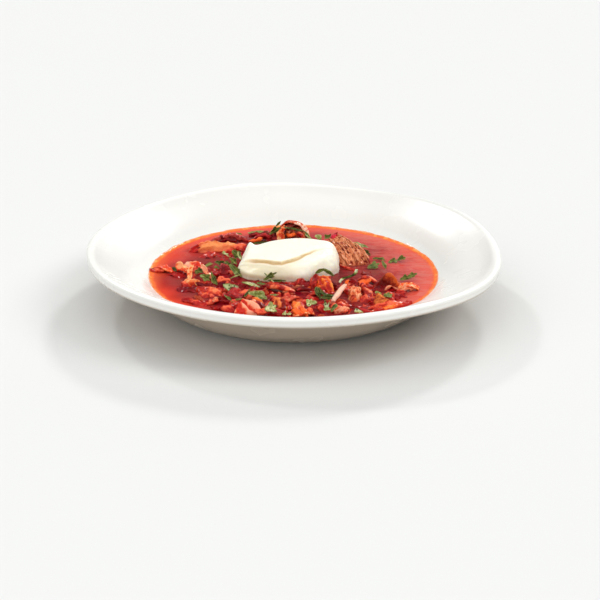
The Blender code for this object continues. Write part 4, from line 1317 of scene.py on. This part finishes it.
class BORSCHT_OT_broth(bpy.types.Operator):
    """Fill the well with broth"""

    bl_idname = "borscht.broth"
    bl_label = "Broth"

    def execute(self, context):
        level = BROTH_LEVEL
        # The bed keeps a little above the well's floor, and the brim a little inside its wall.
        bed = [(0.0, 6.15), (82.0, 6.65), (91.0, 9.05), (96.0, 13.3), (99.3, 17.2)]
        brim = [(100.6, level + 1.0), (99.9, level + 0.5), (98.9, level + 0.2), (97.6, level + 0.05)]
        surface = [(radius * 1.6, level) for radius in range(60, 0, -1)] + [(0.0, level)]
        bm = turned(bed + brim + surface, steps=360)
        for vert in bm.verts:
            radius = vert.co.xy.length
            if vert.co.z > level - 0.01 and radius < 97.4:
                swell = 0.14 * noise.noise(vert.co * 0.07) + 0.07 * noise.noise(vert.co * 0.2)
                vert.co.z += swell * (1.0 - smooth_step(85.0, 97.0, radius))
            elif vert.co.z > level:
                # The edge creeps up and down the wall.
                creep = 0.4 * noise.noise(vert.co * 0.1) + 0.2 * noise.noise(vert.co * 0.4)
                creep *= smooth_step(97.0, 100.0, radius)
                vert.co.z += creep
                vert.co.x *= 1.0 + 0.95 * creep / radius
                vert.co.y *= 1.0 + 0.95 * creep / radius

        def past_stew(place):
            """Millimetres beyond the ragged edge of the stewed shreds."""
            return place.xy.length - heap_reach(place) + 7.0 * noise.noise(place * 0.06)

        set_tone(bm, lambda place: 1.0 - smooth_step(-4.0, 17.0, past_stew(place)), "near_stew")
        set_tone(bm, lambda place: 1.0 - smooth_step(-9.0, 5.0, past_stew(place)), "stew")
        look = broth_surface(context.scene.borscht_broth)
        finish_piece(bm, "borscht_broth", look, "broth", ["broth"], sharp=80)
        return {"FINISHED"}


def strewn_scraps(rng, amount):
    """Kinds and places for the loose shreds: evenly strewn in their beds, off the larger pieces and the cream."""
    taken = [Vector(scrap[1]).xy for scrap in LAID_SCRAPS]
    boxes = [
        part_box(node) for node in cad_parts
        if node not in ("soup_plate", "broth", "stewed_vegetables", "sour_cream")
    ]
    border = 1.0 * MM
    for left, right, near, far, count, palest, shares in STEW_BEDS:
        kinds = [kind for kind, share in shares.items() for _ in range(share)]
        for _ in range(round(count * amount)):
            best, space = None, -1.0
            for _ in range(STREWING_TRIES):
                spot = Vector((rng.uniform(left, right), rng.uniform(near, far)))
                if spot.length > min(heap_reach(spot) + 1.0, 92.0):
                    continue
                aside, away = ((spot[i] - CREAM_MIDDLE[i]) / CREAM_CLEAR[i] for i in (0, 1))
                if math.hypot(aside, away) < 1.0:
                    continue
                here = spot * MM
                inside = any(
                    all(low[i] + border < here[i] < high[i] - border for i in (0, 1)) for low, high in boxes
                )
                # A place on a larger piece counts as a crowded one.
                nearest = min((spot - other).length for other in taken) * (0.35 if inside else 1.0)
                if nearest > space:
                    best, space = spot, nearest
            if best is not None:
                taken.append(best)
                yield rng.choice(kinds), best, palest


class BORSCHT_OT_stew(bpy.types.Operator):
    """Heap the stewed shreds under and between the larger pieces"""

    bl_idname = "borscht.stew"
    bl_label = "Stewed shreds"

    def execute(self, context):
        self.make_core()
        settings = context.scene.borscht_stew
        looks = loose_looks(context.scene)
        rng = random.Random(settings.seed)
        trays = {kind: Tray() for kind in looks}
        for kind, spot, heading, length, width, thickness, tilt, tone in LAID_SCRAPS:
            made = SCRAP_MAKERS[kind](rng, length, width, thickness)
            trays[kind].add(made, tone, scrap_place(spot, heading, tilt))
        for kind, spot, palest in strewn_scraps(rng, settings.amount):
            made = SCRAP_MAKERS[kind](rng, *(rng.uniform(*span) for span in SCRAP_SIZES[kind]))
            spot = (spot.x, spot.y, BROTH_LEVEL + rng.uniform(-1.8, 0.5))
            heading, tilt, roll = rng.uniform(0, 180), rng.uniform(-6, 20), rng.uniform(-25, 25)
            trays[kind].add(made, rng.uniform(0.0, palest), scrap_place(spot, heading, tilt, roll))
        for kind, tray in trays.items():
            finish_piece(tray.bm, "loose_" + kind, looks[kind], kind)
        return {"FINISHED"}

    @staticmethod
    def make_core():
        """The sunk pulp: a puck that follows the heap's spread, cobbled with soft pieces that just break surface."""
        # Its section: shares of the spread, and millimetres above the plate's foot.
        top = BROTH_LEVEL - 0.9
        section = [(0.0, 9.8), (0.84, 9.8), (0.97, BROTH_LEVEL - 3.0)]
        section += [(ring / 84.0, top) for ring in range(82, 0, -1)] + [(0.0, top)]
        bm = turned(section, steps=300)
        tone = layer_of(bm, "tone")
        for vert in bm.verts:
            share = vert.co.xy.length
            reach = heap_reach(vert.co) - 1.0
            vert.co.x *= reach
            vert.co.y *= reach
            vert[tone] = 0.3
            if vert.co.z < BROTH_LEVEL - 1.5:
                continue
            flat = Vector((vert.co.x, vert.co.y, 0.0))
            lump, shade = cobble(flat, 10.0, 0.0)
            small, small_shade = cobble(flat, 5.5, 40.0)
            if small > lump:
                lump, shade = small, small_shade
            lump += 0.9 * noise.noise(flat * 0.3) + 0.2 * noise.noise(flat * 0.9)
            vert.co.z += lump * (1.0 - smooth_step(0.86, 1.0, share)) - 2.0 * smooth_step(0.88, 1.0, share)
            vert[tone] = shade
        look = food(
            "stewed_pulp", (0.56, 0.045, 0.022), (0.22, 0.005, 0.007), (0.06, 0.001, 0.003), mottle=150.0,
            stain_top=BROTH_LEVEL + 2.2, grit=0.2, grit_scale=600.0, gloss=0.12,
        )
        finish_piece(bm, "stewed_pulp", look, "stewed_vegetables", ["stewed_vegetables"])


def cobble(place, size, shift):
    """Height and shade of the soft lump at a place: lumps so many millimetres across, each with its own height."""
    warped = place / size + 0.35 * noise.noise_vector(place * 0.12 + Vector((shift, 0, 0)))
    spans, centres = noise.voronoi(warped + Vector((shift, 0, 0)))
    own = noise.cell(centres[0] * 3.7 + Vector((0, shift, 0.5)))
    edge = smooth_step(0.0, 0.28, spans[1] - spans[0])
    return 0.22 * size * edge * (own - 0.35), noise.cell(centres[0] * 5.1 + Vector((9.0, 0, 0)))


def loose_looks(scene):
    """The finishes of the loose shreds."""
    veg, meat = scene.borscht_vegetables, scene.borscht_meat
    return {
        "beetroot": food(
            "beetroot_shreds", (0.46, 0.022, 0.020), veg.beetroot, (0.085, 0.002, 0.003), streak=0.4, coat=0.25,
        ),
        "carrot": food("carrot_shreds", *(shaded(veg.carrot, share) for share in (1.1, 0.8, 0.4)), streak=0.35),
        "cabbage": food(
            "cabbage_shreds", (0.86, 0.32, 0.17), (0.68, 0.11, 0.05), (0.38, 0.018, 0.012), streak=0.35,
            fineness=(0.15, 1.6), glow=0.25,
        ),
        "pepper": food("pepper_dice", (0.84, 0.135, 0.055), (0.56, 0.026, 0.015), (0.25, 0.006, 0.006), gloss=0.1),
        "beef": food("beef_shreds", shaded(meat.beef, 0.85), (0.28, 0.045, 0.018), meat.seam, streak=0.7, gloss=0.25),
        "potato": food("potato_dice", (0.5, 0.12, 0.03), veg.potato, shaded(veg.potato, 0.4)),
    }


class BORSCHT_OT_roots(bpy.types.Operator):
    """Lay the carrot, beetroot and potato"""

    bl_idname = "borscht.roots"
    bl_label = "Root vegetables"

    def execute(self, context):
        veg = context.scene.borscht_vegetables
        carrot = food(
            "carrot_flesh", (0.94, 0.26, 0.045), veg.carrot, (0.50, 0.018, 0.008), streak=0.35, grit=0.24, gloss=0.1,
            stain=0.5,
        )
        beetroot = food(
            "beetroot_flesh", (0.44, 0.045, 0.036), veg.beetroot, (0.07, 0.002, 0.004), streak=0.45, gloss=0.1,
            coat=0.25,
        )
        blotched = food(
            "carrot_long_flesh", (0.95, 0.32, 0.10), (0.84, 0.145, 0.045), (0.50, 0.016, 0.014), streak=0.5, gloss=0.08,
            grit=0.24, stain=0.75, stain_top=23.0, broth=(0.52, 0.014, 0.016),
        )
        potato = food(
            "potato_flesh", (0.58, 0.088, 0.012), veg.potato, (0.13, 0.004, 0.002), mottle=130.0, grit=0.3,
            grit_scale=1500.0, gloss=0.3, coat=0.25, stain=0.35,
        )
        bright = food(
            "beetroot_bright_flesh", (0.62, 0.012, 0.035), (0.44, 0.003, 0.016), (0.20, 0.001, 0.006), gloss=0.1,
        )
        sunk = food(
            "beetroot_sunk_flesh", (0.22, 0.006, 0.012), (0.11, 0.002, 0.007), (0.06, 0.001, 0.004), gloss=0.25,
            coat=0.2, grit=0.08, broth=(0.26, 0.004, 0.009),
        )
        amber = food(
            "potato_amber_flesh", (0.74, 0.21, 0.035), (0.50, 0.09, 0.015), (0.26, 0.022, 0.006), mottle=130.0,
            gloss=0.12, stain=0.15, glow=0.3,
        )
        lay_cuts(CARROT_CUTS, "carrot", carrot, {})
        lay_cuts(BEETROOT_CUTS, "beetroot", beetroot, {"beetroot_wedge": bright, "beetroot_low": sunk})
        lay_cuts(POTATO_CUTS, "potato", potato, {"potato_wedge": amber})
        lay_strips(CARROT_STRIPS, "carrot", carrot, {"carrot_long": blotched}, along=60, around=12)
        lay_strips(BEETROOT_STRIPS, "beetroot", beetroot, {}, along=60, around=12)
        return {"FINISHED"}


class BORSCHT_OT_peppers(bpy.types.Operator):
    """Lay the pepper and tomato"""

    bl_idname = "borscht.peppers"
    bl_label = "Pepper and tomato"

    def execute(self, context):
        veg = context.scene.borscht_vegetables
        red = food("pepper_flesh", (0.88, 0.20, 0.075), veg.pepper, (0.32, 0.010, 0.008), gloss=0.1, grit=0.24)
        pale = food(
            "pepper_fan_flesh", (0.95, 0.42, 0.26), (0.88, 0.15, 0.050), (0.66, 0.025, 0.010), streak=0.3,
            fineness=(0.9, 0.15), gloss=0.08, stain=0.3, glow=0.2,
        )
        brown = food(
            "pepper_tent_flesh", (0.82, 0.20, 0.045), (0.44, 0.045, 0.014), (0.15, 0.008, 0.005), streak=0.4,
            fineness=(0.7, 0.15), gloss=0.12, stain=0.3,
        )
        skin = food("pepper_skin_face", (0.84, 0.20, 0.09), (0.58, 0.055, 0.026), (0.26, 0.010, 0.007), gloss=0.08)
        own_looks = {"pepper_fan": pale, "pepper_back": pale, "pepper_tent": brown, "pepper_skin": skin}
        lay_cuts(PEPPER_CUTS, "pepper", red, own_looks)
        lay_strips(PEPPER_STRIPS, "pepper", red, {})
        return {"FINISHED"}


class BORSCHT_OT_cabbage(bpy.types.Operator):
    """Lay the curled cabbage"""

    bl_idname = "borscht.cabbage"
    bl_label = "Cabbage"

    def execute(self, context):
        veg = context.scene.borscht_vegetables
        orange = food(
            "cabbage_leaf", (0.95, 0.44, 0.19), veg.cabbage, (0.74, 0.055, 0.012), streak=0.45, fineness=(0.12, 1.0),
            glow=0.3, stain=0.35, stain_top=19.6, gloss=0.1,
        )
        pink = food(
            "cabbage_rib_flesh", (0.93, 0.56, 0.42), (0.84, 0.24, 0.12), (0.52, 0.045, 0.02), streak=0.5,
            fineness=(0.1, 1.4), glow=0.25, stain=0.3, gloss=0.1,
        )
        for name, (route, width, curl, tone) in CABBAGE_LEAVES.items():
            ruffle = 0.4 if name == "cabbage_right" else 0.8
            bm = leaf_piece(name, route, width, curl, thickness=1.1, along=40, across=16, ruffle=ruffle)
            lay(bm, name, tone, pink if name == "cabbage_crest" else orange, "cabbage")
        lay(cut_piece("cabbage_curl", *CABBAGE_CRUMPLE, folds=pleats, cell=0.5), "cabbage_curl", 0.6, orange, "cabbage")
        fork = Tray()
        for index, (route, width, curl, tone) in enumerate(FORK_LEAVES):
            bm = leaf_piece(
                "fork_%d" % index, route, width, curl, thickness=1.1, along=20, across=10, ruffle=0.5, fray=0.2,
            )
            fork.add(bm, tone)
        fork.add(self.cut_stalk(), 0.6, Matrix.Translation((-79.4, -2.6, 21.2)) @ Matrix.Rotation(1.05, 4, "X"))
        finish_piece(fork.bm, "cabbage_fork_piece", orange, "cabbage", ["cabbage_fork"])
        bm = strip_piece("cabbage_rib", *CABBAGE_RIB, wander=0.3)
        lay(bm, "cabbage_rib", sliding(0.95, -0.45, 31.0, 35.0), pink, "cabbage")
        return {"FINISHED"}

    @staticmethod
    def cut_stalk():
        """The cut end of a stalk, dished inside its rim."""
        section = ((0, 0.2), (1.3, 0.3), (2.1, 0.9), (2.7, 0.8), (2.9, 0.0), (2.6, -1.6), (1.6, -3.0), (0, -3.4))
        # A section is kept from going below 0, so it is turned higher and let down again.
        lift = 4.0
        bm = turned(eased_section([(radius, height + lift) for radius, height in section], cuts=2), steps=28)
        bmesh.ops.translate(bm, vec=(0, 0, -lift), verts=bm.verts)
        map_grain(bm, lambda at: at.xy)
        roughen(bm, ((0.3, 0.5), (0.9, 0.15)), 2.0)
        return bm


class BORSCHT_OT_beef(bpy.types.Operator):
    """Lay the flaked beef"""

    bl_idname = "borscht.beef"
    bl_label = "Beef"

    def execute(self, context):
        meat = context.scene.borscht_meat
        flaked = food(
            "beef_fibres", (0.72, 0.26, 0.12), meat.beef, meat.seam, streak=0.75, fineness=(0.05, 1.0),
            stain=0.5, gloss=0.3, grit=0.3, coat=0.3,
        )
        dark = food(
            "beef_crust", (0.52, 0.13, 0.05), (0.26, 0.035, 0.014), (0.10, 0.009, 0.005), mottle=420.0,
            stain=0.2, gloss=0.24, grit=0.4, coat=0.25,
        )
        rosy = food(
            "beef_rosy_fibres", (0.93, 0.42, 0.22), (0.80, 0.17, 0.055), (0.46, 0.035, 0.014), streak=0.4,
            fineness=(0.9, 0.5), stain=0.3, gloss=0.1, grit=0.34,
        )
        self.make_flake(flaked)
        self.make_strands(flaked)
        cuts = (
            ("beef_back", ((-4, 55, 22.6), (-8, 66, 33.4), (11, 56, 20.6), (9, 66, 31.2)), 12.3, dark),
            ("beef_front", ((37, -56, 19.0), (37, -46, 24.8), (45, -56, 18.8), (44, -46, 24.2)), 12.5, rosy),
        )
        for name, corners, bottom, look in cuts:
            bm = cut_piece(
                name, corners, bottom, crown=1.2, rounding=2, cell=0.5, lumps=((0.25, 1.2), (0.6, 1.1), (1.4, 0.5)),
            )
            lay(bm, name, 0.5, look, "beef")
        return {"FINISHED"}

    @staticmethod
    def make_flake(look):
        """The slab of beef that leans on the cream: its fibres part in bundles and fray at the foot."""
        seed = Vector((4.2, 0.0, 0.0))
        corners = [Vector(corner) for corner in BEEF_CORNERS]
        bm = unit_block(*FLAKE_FACES)
        map_block(bm, *FLAKE_GRAIN)
        tone = layer_of(bm, "tone")
        for vert in bm.verts:
            u, v, w = vert.co
            drift = v + 0.05 * noise.noise(Vector((u * 3.0, v * 3.0, 1.0)) + seed)
            bundle = noise.noise(Vector((u * 1.6, drift * 6.5, 0.0)) + seed)
            fibre = noise.noise(Vector((u * 6.5, drift * 17.0, 0.0)) + seed)
            pit = noise.noise(Vector((u * 11.0, drift * 15.0, 7.0)) + seed)
            frayed = 1.0 + 0.05 * bundle + 0.06 * noise.noise(Vector((9.0, v * 22.0, 0.0)))
            run = 0.5 + (u - 0.5) * (frayed if u > 0.5 else 1.0 + 0.02 * fibre)
            place = between(corners, run, v) + bowed(BEEF_BOW, u, v)
            edge = min(u * 1.4, (1 - u) * 1.4, v, 1 - v)
            crown = 1.8 * (smooth_step(0.0, 0.35, edge) - 0.5)
            groove = max(0.0, 1.0 - abs(bundle) * 8.0)
            hollow = smooth_step(0.08, 0.42, pit)
            ridge = 0.9 * (1.0 - 2.6 * abs(fibre))
            fine = smooth_step(0.0, 0.06, min(v, 1 - v))
            height = place.z + (crown + (ridge - 1.5 * groove - 1.1 * hollow) * fine) * w
            # The underside lies just below the broth, and nowhere more than 9 mm below the top.
            low = max(BROTH_LEVEL - 2.0, place.z - 9.0)
            place.z = low + (height - low) * w
            vert.co = place + 0.5 * noise.noise_vector(place * 0.24)
            # Darker in the seams between bundles and in the pits, lighter on the ridges: partly the meat's own colour,
            # partly painted shade and light.
            vert[tone] = min(1.0, max(0.0, 0.72 + 0.2 * ridge - 0.75 * groove - 0.6 * hollow))
        soften(bm, 1)
        finish_piece(bm, "beef_flake_piece", look, "beef", ["beef_flake"], sharp=70)

    @staticmethod
    def make_strands(look):
        """Fibres that have come loose and lie along the flake."""
        corners = [Vector(corner) for corner in BEEF_CORNERS]
        rng = random.Random(STRAND_SEED)
        strands = Tray()
        for _ in range(STRANDS):
            v = rng.uniform(0.02, 0.98)
            start = rng.uniform(0.0, 0.75)
            stop = min(1.05, start + rng.uniform(0.2, 0.45))
            route = []
            for share in (start, (start + stop) / 2, stop):
                place = between(corners, share, v) + bowed(BEEF_BOW, share, v)
                place.z += 0.9 * (1 - (2 * v - 1) ** 4) + rng.uniform(-0.4, 0.5)
                route.append(place)
            route[1].z += rng.uniform(0.2, 1.3)
            width, thickness = rng.uniform(0.9, 1.5), rng.uniform(0.7, 1.1)
            strand = strip_piece(
                "strand", route, width, thickness, along=10, around=2, wander=0.7, lumps=((0.5, 0.12),),
            )
            strands.add(strand, rng.uniform(0.4, 0.95))
        finish_piece(strands.bm, "beef_strands", look, "beef")


def cream_reach(angle):
    """The dollop's plan: a rounded oblong, square at the back right, pointed at the back left, cut away in front."""
    def near(middle, width):
        return math.exp(-(math.remainder(angle - middle, 2 * math.pi) / width) ** 2)

    oblong = (abs(math.cos(angle)) ** 2.6 + abs(math.sin(angle)) ** 2.6) ** (-1 / 2.6)
    wobble = 0.02 * math.cos(2 * (angle - 0.6)) + 0.015 * math.cos(3 * angle + 1.0)
    return oblong * (1.0 + wobble - 0.16 * near(-0.72, 0.42) + 0.10 * near(0.62, 0.26) + 0.10 * near(2.52, 0.2))


def cream_top(x, y):
    """Height of the swept top: it leans towards the diner, and rises to a small peak at the back left."""
    peak = 5.4 * math.exp(-((x + 31.5) / 2.9) ** 2 - ((y - 15.5) / 3.2) ** 2)
    droop = 0.0022 if x < 8.0 else 0.0006
    ridge = 0.5 * math.exp(-((x - 14.0) / 9.0) ** 2 - ((y - 6.0) / 4.0) ** 2)
    return CREAM_TOP + 0.14 * y + 0.03 * x - droop * (x - 8.0) ** 2 + peak + ridge


def dollop(lowered):
    """A rounded oblong mound whose top follows cream_top, lowered by so much where the swept sheet lies on it."""
    # A section is kept from going below 0, so it is eased higher and let down again.
    lift = 2.0
    raised = eased_section([(reach, height + lift) for reach, height in CREAM_SIDE], cuts=2)
    bm = turned([(reach, height - lift) for reach, height in raised], steps=120)
    middle = CREAM_BOTTOM + CREAM_BULGE
    for vert in bm.verts:
        reach = cream_reach(math.atan2(vert.co.y, vert.co.x))
        for axis in (0, 1):
            vert.co[axis] = CREAM_MIDDLE[axis] + vert.co[axis] * CREAM_HALF_SIZE[axis] * reach
        if vert.co.z < 0:
            vert.co.z = middle + vert.co.z * CREAM_BULGE
        else:
            drop = lowered * (1.0 - 0.7 * smooth_step(-4.0, 20.0, vert.co.x))
            vert.co.z = middle + vert.co.z * (cream_top(vert.co.x, vert.co.y) - drop - middle)
    return bm


def join(host, other, operation):
    """Joins another object to a host, or cuts the host by it."""
    boolean = host.modifiers.new(other.name, "BOOLEAN")
    boolean.operation = operation
    boolean.solver = "EXACT"
    boolean.object = other


def ledge_distance(x, y):
    """Millimetres in front of the swept sheet's edge, less than nothing behind it."""
    best = 1e9
    for (ax, ay), (bx, by) in zip(CREAM_SWEEP, CREAM_SWEEP[1:]):
        run = Vector((bx - ax, by - ay))
        share = min(1.0, max(0.0, (Vector((x - ax, y - ay)).dot(run)) / run.length_squared))
        foot = Vector((ax, ay)) + run * share
        away = Vector((x, y)) - foot
        side = -1.0 if run.cross(away) > 0 else 1.0
        if away.length < abs(best):
            best = away.length * side
    return best


class BORSCHT_OT_cream(bpy.types.Operator):
    """Drop the spoonful of sour cream"""

    bl_idname = "borscht.cream"
    bl_label = "Sour cream"

    def execute(self, context):
        settings = context.scene.borscht_cream
        whole = solid_of(dollop(0.0), "cream_whole")
        belly = solid_of(dollop(CREAM_LEDGE), "cream_belly")
        behind = solid_of(self.behind_sweep(), "cream_sweep")
        join(whole, behind, "INTERSECT")
        join(whole, belly, "UNION")
        shaper = whole.modifiers.new("voxels", "REMESH")
        shaper.mode = "VOXEL"
        shaper.voxel_size = settings.grain
        shaped = bpy.data.meshes.new_from_object(whole.evaluated_get(bpy.context.evaluated_depsgraph_get()))
        bm = bmesh.new()
        bm.from_mesh(shaped)
        bmesh.ops.scale(bm, vec=(1 / MM,) * 3, verts=bm.verts)
        for scrap in (whole, behind, belly):
            bpy.data.objects.remove(scrap)
        soften(bm, 4)

        def settle(place):
            """The sheet is smooth, the belly under it slumps in soft ripples."""
            return 0.35 + 0.65 * smooth_step(-2.0, 4.0, ledge_distance(place.x, place.y))

        def fold(place):
            """The painted shadow along the line where the sheet lies on the belly, fading towards its ends and low
            down.
            """
            away = ledge_distance(place.x, place.y)
            strength = smooth_step(22.0, 8.0, place.x) * smooth_step(-36.0, -24.0, place.x)
            return strength * math.exp(-((away - 0.5) / 0.8) ** 2) * smooth_step(21.0, 25.0, place.z)

        def slumped(place):
            """The side under the sheet, on the left, where shade is painted."""
            return smooth_step(0.5, 4.5, ledge_distance(place.x, place.y)) * smooth_step(9.0, -12.0, place.x)

        roughen(bm, ((0.06, 0.9), (0.16, 0.55), (0.5, 0.1)), 3.0, settle)
        set_tone(bm, fold, "fold")
        set_tone(bm, slumped, "belly")
        finish_piece(bm, "sour_cream_dollop", cream_finish(settings), "sour_cream", ["sour_cream"], sharp=180)
        return {"FINISHED"}

    @staticmethod
    def behind_sweep():
        """A tall block over all that lies behind the swept sheet's edge."""
        bm = bmesh.new()
        plan = [*CREAM_SWEEP, (45, 60), (-45, 60)]
        face = bm.faces.new([bm.verts.new((x, y, 10.0)) for x, y in plan])
        raised = bmesh.ops.extrude_face_region(bm, geom=[face])["geom"]
        lifted = [part for part in raised if isinstance(part, bmesh.types.BMVert)]
        bmesh.ops.translate(bm, vec=(0, 0, 40.0), verts=lifted)
        return bm


class BORSCHT_OT_herbs(bpy.types.Operator):
    """Scatter the chopped parsley"""

    bl_idname = "borscht.herbs"
    bl_label = "Parsley"

    def execute(self, context):
        rng = random.Random(HERB_SEED)
        leaves = Tray()
        for form, spot, heading, length, width, tilt, shade in HERBS:
            scrap = herb_scrap(rng, form, 1.3 * length, 1.4 * width)
            split = rng.uniform(-0.1, 0.1)

            def halved(place):
                """The two sides of the rib differ a little, as painted light on one half and painted shade on the
                other.
                """
                return shade + split * (1 if place.y > 0 else -1)

            leaves.add(scrap, halved, scrap_place(spot, heading, tilt))
        for index, (route, width, curl, (first, middle, last)) in enumerate(GREEN_CURLS):
            bm = leaf_piece(
                "green_%d" % index, route, width, curl, thickness=0.5, along=24, across=6, ruffle=0.25, fray=0.15,
            )
            start, end = Vector(route[0]), Vector(route[-1])

            def banded(place):
                """From one end's shade over the middle's to the other's."""
                near, far = (place - start).length, (place - end).length
                share = near / (near + far)
                to_middle, to_last = smooth_step(0.15, 0.35, share), smooth_step(0.7, 0.88, share)
                return first + (middle - first) * to_middle + (last - middle) * to_last

            leaves.add(bm, banded)
        look = leaf_green(context.scene.borscht_herbs)
        finish_piece(leaves.bm, "parsley", look, "stewed_vegetables", sharp=60)
        return {"FINISHED"}


class BORSCHT_OT_stage(bpy.types.Operator):
    """Set the floor, the light and the camera"""

    bl_idname = "borscht.stage"
    bl_label = "Studio"

    def execute(self, context):
        scene = context.scene
        settings = scene.borscht_stage
        bm = bmesh.new()
        bmesh.ops.create_grid(bm, x_segments=1, y_segments=1, size=20.0)
        mesh = bpy.data.meshes.new("studio_floor")
        bm.to_mesh(mesh)
        bm.free()
        mesh.materials.append(studio_floor(settings))
        floor = new_object("studio_floor", mesh)
        floor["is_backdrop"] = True

        world = bpy.data.worlds.new("studio_world")
        world.use_nodes = True
        light = world.node_tree.nodes["Background"]
        light.inputs["Color"].default_value = (1.0, 1.0, 1.0, 1.0)
        light.inputs["Strength"].default_value = settings.fill
        scene.world = world
        for name, towards, strength, share, spread in SUNS:
            sun = bpy.data.lights.new(name, "SUN")
            sun.energy = getattr(settings, strength) * share
            sun.angle = math.radians(spread)
            sun.color = (1.0, 0.995, 0.98)
            new_object(name, sun).rotation_euler = Vector(towards).to_track_quat("Z", "Y").to_euler()
        scene.view_settings.view_transform = "Standard"
        self.set_camera(scene)
        return {"FINISHED"}

    @staticmethod
    def set_camera(scene):
        """Looks down on the plate as a diner does, with its middle a little off the middle of what it sees."""
        elevation, roll = (math.radians(angle) for angle in CAMERA_TURNS)
        back = Vector((0.0, -math.cos(elevation), math.sin(elevation)))
        right = Vector((1.0, 0.0, 0.0))
        up = back.cross(right)
        right, up = right * math.cos(roll) + up * math.sin(roll), up * math.cos(roll) - right * math.sin(roll)
        lens = bpy.data.cameras.new("camera")
        lens.lens, lens.sensor_width = CAMERA_LENS
        lens.clip_start = 0.01
        camera = new_object("camera", lens)
        aside = right * CAMERA_SHIFT[0] + up * CAMERA_SHIFT[1]
        turned_to = Matrix((right, up, back)).transposed().to_4x4()
        camera.matrix_world = Matrix.Translation(back * CAMERA_DISTANCE + aside) @ turned_to
        scene.camera = camera


class BORSCHT_PT_panel(bpy.types.Panel):
    """The plate of borscht, piece by piece"""

    bl_label = "Borscht"
    bl_idname = "BORSCHT_PT_panel"
    bl_space_type = "VIEW_3D"
    bl_region_type = "UI"
    bl_category = "Borscht"

    def draw(self, context):
        for name, group, makers in PARTS:
            box = self.layout.box()
            for maker in makers:
                box.operator(maker.bl_idname)
            for setting in group.__annotations__:
                box.prop(getattr(context.scene, name), setting)


# Each part of the panel: its settings on the scene, their group, and the operators that use them.
PARTS = (
    ("borscht_plate", PlateSettings, (BORSCHT_OT_plate,)),
    ("borscht_broth", BrothSettings, (BORSCHT_OT_broth,)),
    ("borscht_stew", StewSettings, (BORSCHT_OT_stew,)),
    ("borscht_vegetables", VegetableSettings, (BORSCHT_OT_roots, BORSCHT_OT_peppers, BORSCHT_OT_cabbage)),
    ("borscht_meat", MeatSettings, (BORSCHT_OT_beef,)),
    ("borscht_cream", CreamSettings, (BORSCHT_OT_cream,)),
    ("borscht_herbs", HerbSettings, (BORSCHT_OT_herbs,)),
    ("borscht_stage", StageSettings, (BORSCHT_OT_stage,)),
)


def register():
    for name, group, makers in PARTS:
        bpy.utils.register_class(group)
        setattr(bpy.types.Scene, name, bpy.props.PointerProperty(type=group))
        for maker in makers:
            bpy.utils.register_class(maker)
    bpy.utils.register_class(BORSCHT_PT_panel)


def unregister():
    bpy.utils.unregister_class(BORSCHT_PT_panel)
    for name, group, makers in reversed(PARTS):
        for maker in makers:
            bpy.utils.unregister_class(maker)
        delattr(bpy.types.Scene, name)
        bpy.utils.unregister_class(group)


def main():
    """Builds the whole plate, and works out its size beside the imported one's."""
    register()
    bpy.ops.borscht.stage()
    bpy.ops.borscht.plate()
    bpy.ops.borscht.broth()
    bpy.ops.borscht.stew()
    bpy.ops.borscht.roots()
    bpy.ops.borscht.peppers()
    bpy.ops.borscht.cabbage()
    bpy.ops.borscht.beef()
    bpy.ops.borscht.cream()
    bpy.ops.borscht.herbs()
    boxes = {"cad": CAD_BOX, "visual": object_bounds()}
    {name: [list(low), list(high)] for name, (low, high) in boxes.items()}


if __name__ == "__main__":
    main()
